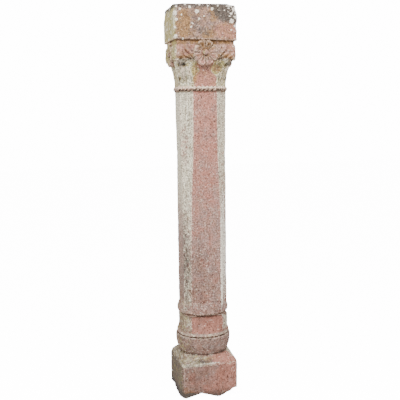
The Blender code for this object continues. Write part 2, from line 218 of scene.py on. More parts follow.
@dataclass(frozen=True)
class Plinth:
    """The rough block, with a broken foot, a crumbled top edge and a slope up to the torus.

    A row of breaks has the middle, as shares of the half width, the reach and the height that is lost.
    """

    half: float = 0.1495
    height: float = 0.182
    twist: float = math.radians(1.8)
    corner: float = 0.010
    slope: float = 0.041
    cushion: float = 1.9
    foot_inset: float = 0.014
    break_depth: float = 1.6
    edge_wear: float = 0.0015
    foot_breaks: Rows = (
        (-0.32, -1.0, 0.090, 0.030), (-1.0, -1.0, 0.050, 0.014), (1.0, -1.0, 0.088, 0.043),
        (0.35, 1.0, 0.090, 0.018), (-1.0, 0.45, 0.060, 0.010),
    )
    edge_breaks: Rows = ((-1.0, -1.0, 0.260, 0.012), (-1.0, 1.0, 0.150, 0.016))

    def lost(self, breaks: Rows, ring: Array) -> Array:
        """The height that the breaks take at each point of a ring.

        Args:
            breaks: The rows of breaks.
            ring: The ring's points.

        Returns:
            The lost height at each point.
        """
        lost = [np.zeros(len(ring))]
        for x, y, reach, height in breaks:
            away = np.linalg.norm(ring[:, :2] - np.array([x, y]) * self.half, axis=1)
            lost.append(height * (1.0 - away / reach))
        return np.max(lost, axis=0)

    def square(self, stations: Stations, half: float) -> Array:
        """A level ring of the block, turned a little about the column's axis.

        Args:
            stations: How a ring is cut into stretches.
            half: Half the ring's width.

        Returns:
            The ring's points.
        """
        cosine, sine = math.cos(self.twist), math.sin(self.twist)
        turn = np.array([[cosine, sine, 0.0], [-sine, cosine, 0.0], [0.0, 0.0, 1.0]])
        return stations.ring(half, self.corner) @ turn

    def rings(self, stations: Stations, foot: Array) -> list[Array]:
        """Rings from the flat bearing up to just below the torus, whose first ring is the foot.

        Args:
            stations: How a ring is cut into stretches.
            foot: The lowest ring of the torus.

        Returns:
            The rings, from the lowest up.
        """
        outer = self.square(stations, self.half)
        lost, worn = self.lost(self.foot_breaks, outer), self.lost(self.edge_breaks, outer)
        bearing = outer * (1.0 - (self.foot_inset + self.break_depth * lost) / self.half)[:, None]
        edge = self.square(stations, self.half - 2.0 * self.edge_wear)
        edge = at_height(edge, self.height + self.edge_wear - worn)
        rings = [bearing * 0.05, bearing * 0.5, bearing]
        rings += [mix(bearing, at_height(outer, lost), share) for share in (0.35, 0.7, 1.0)]
        rings.append(at_height(outer, 0.5 * self.height))
        rings += [at_height(outer, self.height - 2.0 * self.edge_wear - worn), edge]
        for share in np.linspace(0.0, 1.0, 12)[1:-1]:
            ring = mix(edge, foot, share ** self.cushion)
            ring[:, 2] = mix(edge[:, 2], foot[:, 2], share)
            rings.append(ring)
        return rings


@dataclass(frozen=True)
class Drum:
    """The short faceted drum, which flares into the round fillet below it."""

    half: float = 0.1155
    chamfer: float = 0.0315
    height: float = 0.096
    flare: float = 0.062
    lap: float = 0.010

    def round(self, stations: Stations, radius: float, z: float) -> Array:
        """A round ring with its points where the drum has them."""
        return stations.ring(self.half, self.chamfer, z, 1.0, radius)

    def rings(self, stations: Stations, fillet: float, z: float) -> list[Array]:
        """Rings from the fillet of that radius, at height z, to a little inside the roll.

        Args:
            stations: How a ring is cut into stretches.
            fillet: The fillet's radius.
            z: The height of the fillet's top.

        Returns:
            The rings, from the lowest up.
        """
        rings = [
            stations.ring(self.half, self.chamfer, z + share * self.flare, (1.0 - share) ** 1.8, fillet)
            for share in np.linspace(0.0, 1.0, 16)[1:] ** 1.5
        ]
        plain = stations.ring(self.half, self.chamfer)
        for share, up in ((1.0, 0.0), (0.93, 0.0005), (0.90, self.lap)):
            rings.append(at_height(plain * share, z + self.height + up))
        return rings


@dataclass(frozen=True)
class Torus:
    """The bowl-shaped torus, with the groove over it and the thin round fillet."""

    radius: float = 0.1435
    foot_radius: float = 0.127
    height: float = 0.092
    groove_depth: float = 0.008
    groove_height: float = 0.005
    fillet_radius: float = 0.1385
    fillet_height: float = 0.016
    softness: float = 0.0015
    swell: tuple[float, float] = (4.0, 112.0)

    def rings(self, stations: Stations, drum: Drum, z: float) -> list[Array]:
        """Rings from the torus's foot, at height z, to the top of the fillet.

        Args:
            stations: How a ring is cut into stretches.
            drum: The drum, which has its points in the same places.
            z: The height of the torus's foot.

        Returns:
            The rings, from the lowest up.
        """
        top, groove = z + self.height, z + self.height + self.groove_height
        shares = np.linspace(0.0, 1.0, 34)
        swell = np.sin(np.radians(mix(*self.swell, shares)))
        profile = list(zip(mix(self.foot_radius, self.radius, swell), mix(z, top, shares)))
        profile += [
            (self.radius - self.groove_depth, top + 0.0005),
            (self.fillet_radius - self.groove_depth, groove),
            (self.fillet_radius, groove + self.softness),
            (self.fillet_radius - self.softness, groove + self.fillet_height),
        ]
        return [drum.round(stations, radius, height) for radius, height in profile]


@dataclass(frozen=True)
class Roll:
    """The roll: a sharp round lip over the drum that dies into the faces of the shaft."""

    radius: float = 0.1345
    height: float = 0.070
    lip: float = 0.011
    lap: float = 0.008
    inset: float = 0.010

    def rings(self, stations: Stations, drum: Drum, shaft_half: float, z: float) -> list[Array]:
        """Rings from a little inside the drum, below height z, to the foot of the shaft.

        Args:
            stations: How a ring is cut into stretches.
            drum: The drum below the roll.
            shaft_half: Half the shaft's width at its foot.
            z: The height of the roll's foot.

        Returns:
            The rings, from the lowest up.
        """
        inner = drum.round(stations, drum.half - self.inset, 0.0)
        rings = [at_height(inner * 0.05, z - self.lap), at_height(inner, z - self.lap), at_height(inner, z)]
        rings.append(drum.round(stations, self.radius - 0.5 * self.lip, z + 0.0015))
        for share in np.linspace(0.0, 1.0, 24):
            half, height = mix(drum.half, shaft_half, share), mix(z + self.lip, z + self.height, share)
            rings.append(stations.ring(half, drum.chamfer, height, fall(0.25, 1.0, share), self.radius))
        return rings


@dataclass(frozen=True)
class Shaft:
    """The square shaft, whose chamfers widen towards the top.

    The halves and chamfers are at the foot, the waist and the top. At each station, a share of the
    length, the ways say how far from the foot at 0, past the waist at 1, to the top at 2 they have come.
    """

    length: float = 1.081
    halves: tuple[float, float, float] = (0.1130, 0.1140, 0.1200)
    chamfers: tuple[float, float, float] = (0.0315, 0.0400, 0.0585)
    shares: tuple[float, ...] = (0.00, 0.24, 0.50, 0.72, 0.87, 1.00)
    half_ways: tuple[float, ...] = (0.0, 0.2, 1.0, 1.2, 1.8, 2.0)
    chamfer_ways: tuple[float, ...] = (0.0, 0.2, 1.0, 1.6, 1.9, 2.0)
    top_lap: float = 0.034
    seam_inset: float = 0.004

    def ring(self, stations: Stations, share: float, z: float) -> Array:
        """The ring at a share of the length, at height z.

        Args:
            stations: How a ring is cut into stretches.
            share: The share of the length.
            z: The ring's height.

        Returns:
            The ring's points.
        """
        half, chamfer = (
            np.interp(np.interp(share, self.shares, ways), (0, 1, 2), sizes)
            for ways, sizes in ((self.half_ways, self.halves), (self.chamfer_ways, self.chamfers))
        )
        return stations.ring(half, chamfer, z)

    def rings(self, stations: Stations, z: float) -> list[Array]:
        """Rings from the shaft's foot, at height z, to its slim end inside the bell.

        Args:
            stations: How a ring is cut into stretches.
            z: The height of the shaft's foot.

        Returns:
            The rings, from the lowest up.
        """
        top = z + self.length
        shares = np.linspace(0.0, 1.0, 40)[1:]
        rings = [self.ring(stations, share, z + share * self.length) for share in shares]
        slim = stations.ring(self.halves[-1] - self.seam_inset, self.chamfers[-1])
        rings.append(self.ring(stations, 1.0, top + 0.4 * self.top_lap))
        return rings + [at_height(slim * share, top + self.top_lap) for share in (1.0, 0.05)]


@dataclass(frozen=True)
class Bell:
    """The bell, with a bare panel on each face and a veined leaf that wraps each corner."""

    half: float = 0.1210
    height: float = 0.124
    flare: float = 0.0115
    lip: float = 0.0120
    foot_chamfer: float = 0.0585
    top_chamfer: float = 0.018
    relief: float = 0.0045
    gap_foot: float = 0.0600
    gap_waist: float = 0.0270
    gap_top: float = 0.0400
    leaf_edge: float = 0.003
    veins: float = 2.5
    vein_depth: float = 0.0022
    rib_height: float = 0.0026
    dish_depth: float = 0.0024
    hollow_depth: float = 0.0075
    hollow_reach: float = 0.017

    def half_at(self, share: float) -> float:
        """Half the width, from the foot at 0 to the frieze at 1."""
        return self.half + self.flare * share ** 1.6 + self.lip * share ** 8

    def chamfer_at(self, share: float) -> float:
        """The chamfer, which closes towards the square corners above."""
        return mix(self.foot_chamfer, self.top_chamfer, share ** 2.5)

    def gap_at(self, share: float) -> float:
        """Half the width of the bare panel, narrowest where the leaves curl in.

        Args:
            share: The place, from the foot at 0 to the frieze at 1.

        Returns:
            Half the panel's width.
        """
        waist = mix(self.gap_foot, self.gap_waist, rise(0.30, 0.62, share))
        free = mix(waist, self.gap_top, rise(0.66, 0.95, share))
        return min(free, self.half_at(share) - self.chamfer_at(share) - 3.0 * self.leaf_edge)

    def carving(self, ring: Array, gap: float, share: float) -> tuple[Array, Array]:
        """The leaf's finer relief on one ring.

        Args:
            ring: The ring's points.
            gap: Half the width of the bare panel there.
            share: The ring's place, from the foot at 0 to the frieze at 1.

        Returns:
            How far each point stands out, and 1 where it lies on a leaf.
        """
        inner, face = np.sort(np.abs(ring[:, :2]), axis=1).T
        aside = face - inner
        from_rib = aside / math.sqrt(2.0) + 0.3 * np.maximum(0.0, aside - self.chamfer_at(share))
        width = (self.half_at(share) - gap) / math.sqrt(2.0) * 1.25
        across = np.clip(from_rib / width, 0.0, 1.2)
        on_leaf = rise(gap, gap + 1.5 * self.leaf_edge, inner)
        vein = (0.5 - 0.5 * np.cos(2.0 * math.pi * self.veins * across)) ** 2 * rise(0.04, 0.16, across)
        dish = np.sin(math.pi * np.clip(across, 0.0, 1.0))
        carved = self.rib_height * fall(0.002, 0.008, from_rib)
        carved = carved - self.vein_depth * vein - self.dish_depth * dish
        away = np.hypot(inner - 0.80 * self.half_at(share), (share - 0.86) * self.height)
        hollow = self.hollow_depth * fall(0.2, 1.0, away / self.hollow_reach)
        return on_leaf * rise(0.12, 0.42, share) * carved - hollow, on_leaf


@dataclass(frozen=True)
class Frieze:
    """The frieze: a cushion with two fluted lobes on each side of a flower and a scalloped lower edge."""

    half: float = 0.1535
    height: float = 0.080
    scallop: float = 0.009
    relief: float = 0.003
    flute_depth: float = 0.0027
    flutes: float = 21.0
    clear: float = 0.30

    def lobe(self, across: Array) -> Array:
        """The two lobes on each side of a flower: 0 at their ends and 1 in their middles."""
        shares = np.interp(across / self.half, (self.clear, 0.66, 0.96), (0.0, 1.0, 2.0))
        return np.abs(np.sin(math.pi * shares))

    def fluting(self, ring: Array, share: float) -> Array:
        """How far the fan of shallow flutes beside the flower's foot pushes out one ring.

        Args:
            ring: The ring's points.
            share: The ring's place, from the foot at 0 to the top at 1.

        Returns:
            How far each point moves out.
        """
        inner = np.abs(ring[:, :2]).min(axis=1)
        out = inner - self.clear * self.half
        angle = np.arctan2((share + 0.25) * self.height, np.maximum(out, 0.001))
        fade = rise(0.006, 0.030, out) * fall(0.84, 0.97, inner / self.half) * fall(0.75, 0.95, share)
        return -self.flute_depth * fade * (0.5 + 0.5 * np.cos(self.flutes * angle)) ** 1.3


@dataclass(frozen=True)
class Abacus:
    """The recess over the frieze and the plain square block, with worn edges."""

    half: float = 0.1585
    height: float = 0.172
    recess_height: float = 0.019
    recess_depth: float = 0.007
    sag: float = 0.003
    wear: float = 0.009
    corner: float = 0.014


class Surface:
    """The vertices of a mesh, and the values that are kept for them."""

    def __init__(self, mesh: bpy.types.Mesh) -> None:
        """Reads where the vertices are and the way they face.

        Args:
            mesh: The mesh, with its faces outwards.
        """
        self.mesh = mesh
        self.points = self.read(mesh.vertices, "co", 3).reshape(-1, 3)
        self.normals = self.read(mesh.vertex_normals, "vector", 3).reshape(-1, 3)

    def read(self, rows: bpy.types.bpy_prop_collection, name: str, width: int = 1) -> Array:
        """One value, or as many as the width says, for each vertex.

        Args:
            rows: What holds the values, such as the mesh's vertices.
            name: What the value is called.
            width: How many numbers it has.

        Returns:
            The numbers of all vertices in one row.
        """
        values = np.zeros(len(self.mesh.vertices) * width, np.float32)
        rows.foreach_get(name, values)
        return values.astype(float)

    def keep(self, name: str, values: Array) -> None:
        """Keeps one value for each vertex as an attribute of the mesh.

        Args:
            name: The attribute's name.
            values: One value for each vertex.
        """
        attributes = self.mesh.attributes
        attribute = attributes.get(name) or attributes.new(name, "FLOAT", "POINT")
        attribute.data.foreach_set("value", np.asarray(values, np.float32))

    def kept(self, name: str) -> Array:
        """The values of an attribute, or zeros where the mesh has none of that name."""
        attribute = self.mesh.attributes.get(name)
        return self.read(attribute.data, "value") if attribute else np.zeros(len(self.points))

    def bend(self, rounds: int) -> Array:
        """How far each vertex stands out of its smoothed surroundings, in metres.

        Args:
            rounds: How often the surroundings are smoothed, which sets how wide they are.

        Returns:
            Positive values on arrises and negative values in hollows.
        """
        edges = np.zeros(len(self.mesh.edges) * 2, np.int32)
        self.mesh.edges.foreach_get("vertices", edges)
        one, other = edges.reshape(-1, 2).T
        count, smooth = len(self.points), self.points
        degree = np.maximum(np.bincount(one, minlength=count) + np.bincount(other, minlength=count), 1)
        for _ in range(rounds):
            total = np.stack([
                np.bincount(one, smooth[other, axis], count) + np.bincount(other, smooth[one, axis], count)
                for axis in range(3)
            ], axis=1)
            smooth = mix(smooth, total / degree[:, None], 0.8)
        return np.einsum("ij,ij->i", self.points - smooth, self.normals)

    @classmethod
    def skinned(cls, name: str, grid: Array, masks: dict[str, Array]) -> "Surface":
        """Skins rings with a new mesh and closes both ends with a fan.

        Args:
            name: The mesh's name.
            grid: Rings, points and coordinates, from the lowest ring up.
            masks: Values to keep as attributes, one for each point of the grid.

        Returns:
            The new mesh's surface, with its faces outwards.
        """
        rows, columns, _ = grid.shape
        index = np.arange(rows * columns).reshape(rows, columns)
        after = np.roll(index, -1, axis=1)
        quads = np.stack([index[:-1], after[:-1], after[1:], index[1:]], axis=-1).reshape(-1, 4)
        low, high = rows * columns, rows * columns + 1
        fans = [(low, b, a) for a, b in zip(index[0].tolist(), after[0].tolist())]
        fans += [(high, a, b) for a, b in zip(index[-1].tolist(), after[-1].tolist())]
        points = np.vstack([grid.reshape(-1, 3), grid[0].mean(axis=0), grid[-1].mean(axis=0)])
        mesh = bpy.data.meshes.new(name)
        mesh.from_pydata(points.tolist(), [], quads.tolist() + fans)
        mesh.update()
        surface = cls(mesh)
        for mask, values in masks.items():
            surface.keep(mask, np.r_[values.ravel(), 0.0, 0.0])
        return surface


@dataclass(frozen=True)
class Flow:
    """What a socket puts out. A sum with it adds a node to its tree."""

    wires: "Wiring"
    socket: bpy.types.NodeSocket

    def __add__(self, other: "Value") -> "Flow":
        """The sum of this and the other."""
        return self.wires.math("ADD", self, other)

    def __sub__(self, other: "Value") -> "Flow":
        """This less the other."""
        return self.wires.math("SUBTRACT", self, other)

    def __rsub__(self, other: float) -> "Flow":
        """The other less this."""
        return self.wires.math("SUBTRACT", other, self)

    def __mul__(self, other: "Value") -> "Flow":
        """The product of this and the other."""
        return self.wires.math("MULTIPLY", self, other)

    def __rtruediv__(self, other: float) -> "Flow":
        """The other divided by this."""
        return self.wires.math("DIVIDE", other, self)


Value = Flow | float


class Wiring:
    """A node tree under construction."""

    def __init__(self, tree: Tree) -> None:
        """Keeps the tree that the nodes are added to."""
        self.tree = tree

    def feed(self, socket: bpy.types.NodeSocket, value: Value | Colour | str) -> None:
        """Links a flow to an input, or sets the input's own value.

        Args:
            socket: The input.
            value: A flow, or a plain value.
        """
        if isinstance(value, Flow):
            self.tree.links.new(value.socket, socket)
        else:
            socket.default_value = value

    def node(self, kind: str, inputs: dict | None = None, **settings: object) -> bpy.types.Node:
        """Adds a node.

        Args:
            kind: The node's type.
            inputs: What goes into each input, by name or place.
            **settings: The node's own properties.

        Returns:
            The new node.
        """
        made = self.tree.nodes.new(kind)
        for name, setting in settings.items():
            setattr(made, name, setting)
        for key, value in (inputs or {}).items():
            self.feed(made.inputs[key], value)
        return made

    def flow(self, kind: str, inputs: dict | None = None, output: int | str = 0, **settings: object) -> Flow:
        """Adds a node and gives what one of its outputs puts out."""
        return Flow(self, self.node(kind, inputs, **settings).outputs[output])

    def math(self, operation: str, *values: Value) -> Flow:
        """What a sum of numbers and flows comes to."""
        return self.flow("ShaderNodeMath", dict(enumerate(values)), operation=operation)

    def noise(self, vector: Flow, scale: Value, detail: float, roughness: float, w: Value = 0.0) -> Flow:
        """Fractal noise from about 0.3 to about 0.7."""
        inputs = {"Vector": vector, "W": w, "Scale": scale, "Detail": detail, "Roughness": roughness}
        return self.flow("ShaderNodeTexNoise", inputs, noise_dimensions="4D")

    def cells(self, vector: Flow, scale: Value) -> bpy.types.Node:
        """Cells round points strewn at random."""
        return self.node("ShaderNodeTexVoronoi", {"Vector": vector, "Scale": scale}, voronoi_dimensions="3D")

    def span(self, *values: Value, kind: str = "SMOOTHSTEP") -> Flow:
        """A value's rise from one number to another, from 0 to 1 or between two more numbers."""
        return self.flow("ShaderNodeMapRange", dict(enumerate(values)), interpolation_type=kind)

    def blend(self, share: Value, low: Flow | Colour, high: Flow | Colour, kind: str = "MIX") -> Flow:
        """Two colours mixed by a share."""
        inputs = {0: share, 6: low, 7: high}
        return self.flow("ShaderNodeMix", inputs, 2, data_type="RGBA", blend_type=kind, clamp_result=True)


@dataclass(frozen=True)
class Weather:
    """How the weather has worked on a stretch of stone, in metres."""

    sway: float = 0.0012
    sway_size: float = 0.11
    rough: float = 0.0010
    rough_size: float = 0.016
    chip: float = 0.0045
    chip_size: float = 0.020
    pit: float = 0.0012
    pit_size: float = 0.011
    seed: float = 1.0

    def inputs(self) -> dict[str, float]:
        """The values of the weathering tree's inputs."""
        return {label(name): value for name, value in asdict(self).items()}


class Group(Wiring):
    """A node group with named inputs and outputs."""

    def __init__(self, name: str, kind: str) -> None:
        """Starts an empty group, of the Shader or the Geometry kind.

        Args:
            name: The group's name.
            kind: Shader or Geometry.
        """
        super().__init__(bpy.data.node_groups.new(name, kind + "NodeTree"))
        self.kind = {"Shader": "Float"}.get(kind, kind)
        self.entry, self.exit = self.node("NodeGroupInput"), self.node("NodeGroupOutput")

    def takes(self, **inputs: int | float | str) -> list[Flow]:
        """Adds inputs, each named for its keyword.

        Args:
            **inputs: Each input's usual value, or the kind of its socket where it has none.

        Returns:
            What each input carries.
        """
        for name, value in inputs.items():
            kind = {int: "Int", float: "Float"}.get(type(value), value)
            socket = self.tree.interface.new_socket(
                name=label(name), in_out="INPUT", socket_type="NodeSocket" + kind)
            if kind is not value:
                socket.default_value = value
        return [Flow(self, self.entry.outputs[label(name)]) for name in inputs]

    def weather(self) -> dict[str, Flow]:
        """Adds the inputs that every weathered tree has."""
        return dict(zip(Weather().inputs(), self.takes(**asdict(Weather()))))

    def gives(self, **outputs: Flow) -> Tree:
        """Adds outputs, each named for its keyword, and returns the finished tree.

        Args:
            **outputs: What each output gives.

        Returns:
            The tree.
        """
        for name, source in outputs.items():
            self.tree.interface.new_socket(
                name=label(name), in_out="OUTPUT", socket_type="NodeSocket" + self.kind)
            self.feed(self.exit.inputs[label(name)], source)
        return self.tree

    def vector(self, x: Value, y: Value, z: Value) -> Flow:
        """A vector of three numbers."""
        return self.flow("ShaderNodeCombineXYZ", {0: x, 1: y, 2: z})

    def ball(self, segments: int, rings: int, width: Value, height: Value) -> Flow:
        """An upright ellipsoid."""
        ball = self.flow("GeometryNodeMeshUVSphere", {"Segments": segments, "Rings": rings, "Radius": 1.0})
        return self.moved(ball, Scale=self.vector(width, width, height))

    def moved(self, geometry: Flow, **how: Flow | tuple) -> Flow:
        """A geometry with a translation, rotation or scale."""
        return self.flow("GeometryNodeTransform", {"Geometry": geometry, **how})

    def ringed(self, count: Value, geometry: Flow, turn: Flow, **how: Flow) -> Flow:
        """So many copies of a geometry, each turned about the Z axis.

        Args:
            count: How many copies.
            geometry: What is copied.
            turn: Each copy's angle.
            **how: More inputs of the copying node.

        Returns:
            The copies.
        """
        line = self.flow("GeometryNodeMeshLine", {"Count": count, "Offset": (0.0, 0.0, 0.0)})
        turned = self.flow("FunctionNodeEulerToRotation", {0: self.vector(0.0, 0.0, turn)})
        copies = {"Points": line, "Instance": geometry, "Rotation": turned, **how}
        return self.flow("GeometryNodeInstanceOnPoints", copies)

    def join(self, *geometries: Flow) -> Flow:
        """Several geometries as one.

        Args:
            *geometries: The geometries.

        Returns:
            All of them together.
        """
        joined = self.node("GeometryNodeJoinGeometry")
        for geometry in geometries:
            self.feed(joined.inputs[0], geometry)
        return Flow(self, joined.outputs[0])


class Works:
    """The mason's yard: runs geometry nodes on host meshes and hands the results over as pieces."""

    def __init__(self) -> None:
        """Builds the weathering group once, for every tree that uses it."""
        self.weathering = self.weathering_tree()

    @staticmethod
    def weathering_tree() -> Tree:
        """The nodes that wear a carved surface: it sways, roughens, chips at its arrises and pits.

        Returns:
            The group's tree.
        """
        group = Group("stone_weathering", "Geometry")
        stone, = group.takes(geometry="Geometry")
        size = group.weather()
        seed = size["Seed"]
        place, normal = group.flow("GeometryNodeInputPosition"), group.flow("GeometryNodeInputNormal")
        edge, held = (
            group.flow("GeometryNodeInputNamedAttribute", {"Name": name}, data_type="FLOAT")
            for name in ("edge", "held")
        )
        sway = (group.noise(place, 1.0 / size["Sway Size"], 2.0, 0.55, seed) - 0.5) * (size["Sway"] * 4.0)
        rough = group.noise(place, 1.0 / size["Rough Size"], 4.0, 0.6, seed + 3.1)
        rough = (rough - 0.5) * (size["Rough"] * 3.0)
        chip = group.noise(place, 1.0 / size["Chip Size"], 3.0, 0.55, seed + 7.7)
        chip = group.span(chip, 0.47, 0.66) * edge
        cell = Flow(group, group.cells(place, 1.0 / size["Pit Size"]).outputs["Distance"])
        pitted = group.noise(place, 0.3 / size["Pit Size"], 2.0, 0.5, seed)
        pit = group.span(cell, 0.12, 0.42, 1.0, 0.0) * group.span(pitted, 0.48, 0.60)
        moved = (sway + rough - (chip * size["Chip"] + pit * size["Pit"])) * (1.0 - held)
        offset = group.flow("ShaderNodeVectorMath", {0: normal, "Scale": moved}, operation="SCALE")
        worn = group.flow("GeometryNodeSetPosition", {"Geometry": stone, "Offset": offset})
        return group.gives(geometry=worn)

    def finish_tree(self, group: Group, stone: Flow, sizes: dict[str, Flow]) -> Tree:
        """Ends a tree: the stone is realized, weathered and given its material.

        Args:
            group: The tree so far.
            stone: Its carved geometry.
            sizes: The weathering's inputs by name.

        Returns:
            The finished tree.
        """
        whole = group.flow("GeometryNodeRealizeInstances", {"Geometry": stone})
        worn = group.flow("GeometryNodeGroup", {}, node_tree=self.weathering)
        for name, value in {"Geometry": whole, **sizes}.items():
            group.feed(worn.socket.node.inputs[name], value)
        finish, = group.takes(material="Material")
        dressed = {"Geometry": worn, "Material": finish}
        return group.gives(geometry=group.flow("GeometryNodeSetMaterial", dressed))

    def skin_tree(self) -> Tree:
        """The tree for a length of the column's skin, which only weathers it.

        Returns:
            The group's tree.
        """
        group = Group("weathered_skin", "Geometry")
        stone, = group.takes(geometry="Geometry")
        return self.finish_tree(group, stone, group.weather())

    def run(self, name: str, host: bpy.types.Mesh, tree: Tree, inputs: dict) -> bpy.types.Object:
        """Runs a tree on a host mesh.

        Args:
            name: The piece's name.
            host: The mesh that goes into the tree.
            tree: The geometry nodes.
            inputs: The values of the tree's named inputs.

        Returns:
            A plain object with the resulting mesh, at the origin.
        """
        carrier = put_up(name + "_host", host)
        modifier = carrier.modifiers.new(name, "NODES")
        modifier.node_group = tree
        for item in tree.interface.items_tree:
            if item.item_type == "SOCKET" and item.in_out == "INPUT" and item.name in inputs:
                modifier[item.identifier] = inputs[item.name]
        carrier.update_tag()
        graph = bpy.context.evaluated_depsgraph_get()
        mesh = bpy.data.meshes.new_from_object(carrier.evaluated_get(graph), depsgraph=graph)
        mesh.name = name
        carrier.modifiers.clear()
        bpy.data.objects.remove(carrier)
        mesh.shade_smooth()
        return put_up(name, mesh)


# Half the height over which one zone passes into the next.
SEAM = 0.003
# Painted shade in the nooks under the roll's lip, in the groove over the torus, under the torus and under the
# cable: its height, its reach up and down, and how dark it is.
NOOK_SHADE = (
    (0.4270, 0.0090, 0.80), (0.4350, 0.0062, 0.85), (0.3185, 0.0040, 0.90), (0.2270, 0.0100, 0.60),
    (1.5805, 0.0085, 0.80),
)
# Each zone's foot and top.
ZONES = {
    "plinth": (-0.01, 0.172), "slope": (0.172, 0.222), "torus": (0.222, 0.319), "fillet": (0.319, 0.338),
    "drum": (0.338, 0.431), "roll": (0.431, 0.502), "shaft": (0.502, 1.583), "cable": (1.583, 1.605),
    "bell": (1.605, 1.728), "frieze": (1.728, 1.808), "recess": (1.808, 1.828), "abacus": (1.828, 2.02),
}
# How much of each stain lies where all the words of a row hold.
LAYOUT = {
    Stain.ROSE: {
        "shaft open": 0.20, "shaft open high": 0.38, "drum flat open": 0.62, "plinth open": 0.22,
        "plinth open east": 0.45, "slope east": 0.95, "bell bare open": 0.62, "frieze open": 0.35,
        "abacus brow east": 0.32, "roll": 0.22, "torus": 0.10, "cable": 0.35, "abacus": 0.12,
    },
    Stain.OCHRE: {
        "recess": 0.60, "frieze hem": 0.58, "frieze": 0.26, "abacus": 0.31, "bell": 0.20, "slope": 0.06,
        "fillet": 0.15, "plinth foot": 0.20, "cable": 0.20,
    },
    Stain.LICHEN: {
        "shaft cut": 0.22, "shaft cut high": 0.42, "shaft side": 0.14, "shaft side high": 0.36,
        "shaft left flat high": 0.40, "bell leaf": 0.42, "drum cut": 0.16, "drum cut right": 0.35,
        "drum left": 0.20, "roll cut": 0.12, "roll left": 0.20, "torus left": 0.12, "torus up": 0.20,
        "fillet": 0.28, "slope west": 0.28, "abacus side": 0.22, "frieze side": 0.18, "plinth rim": 0.04,
        # "cable up" is a painted highlight on the top of the cable.
        "bell bare side": 0.35, "cable up": 0.95, "cable": 0.22, "arris front": 0.18,
        "bell leaf side": 0.12, "lip": 0.55,
    },
    Stain.ALGAE: {
        "abacus side": 0.72, "frieze side": 0.62, "recess side": 0.50, "bell leaf": 0.78,
        "bell leaf side": 0.10, "drum left": 0.32, "torus left": 0.25, "plinth left": 0.32,
        "slope west": 0.30, "shaft low": 0.04, "shaft left low": 0.04, "roll left": 0.20,
        "plinth back": 0.20, "abacus": 0.05, "drum cut left": 0.14, "bell bare side": 0.55,
    },
    Stain.DAMP: {
        "plinth": 0.28, "plinth left": 0.70, "plinth west": 0.22, "plinth foot": 0.55, "torus": 0.40,
        "recess": 0.30, "drum": 0.28, "roll": 0.30, "shaft low": 0.16, "shaft low west": 0.28,
        # "down" is painted shade on every down-facing surface.
        "down": 0.55, "slope left": 0.30, "slope west": 0.45, "frieze hem": 0.30, "torus left": 0.25,
        "drum left": 0.35, "frieze west": 0.18, "shaft cut low": 0.30,
    },
    Stain.GRIME: {
        # The rows with "down" darken down-facing stone: painted shade under the cable and the torus, and
        # partly grime, partly painted shade on the plinth's broken foot.
        "abacus crown": 0.72, "abacus up": 0.45, "abacus open": 0.20, "plinth foot down": 0.70,
        "cable down": 0.70, "torus down": 0.15, "plinth foot left": 0.40, "plinth left": 0.48,
        "plinth foot": 0.55, "slope west": 0.24, "abacus left crown": 0.30, "roll": 0.08, "torus": 0.12,
        "plinth rim": 0.20, "shaft cut low": 0.12,
    },
    Stain.SPECKLE: {
        "roll": 0.58, "torus": 0.50, "plinth": 0.08, "slope": 0.34, "abacus open": 0.26, "shaft": 0.26,
        "bell leaf": 0.22, "cable up": 0.60, "plinth rim": 0.15, "frieze": 0.18, "drum": 0.10, "bell": 0.15,
    },
}
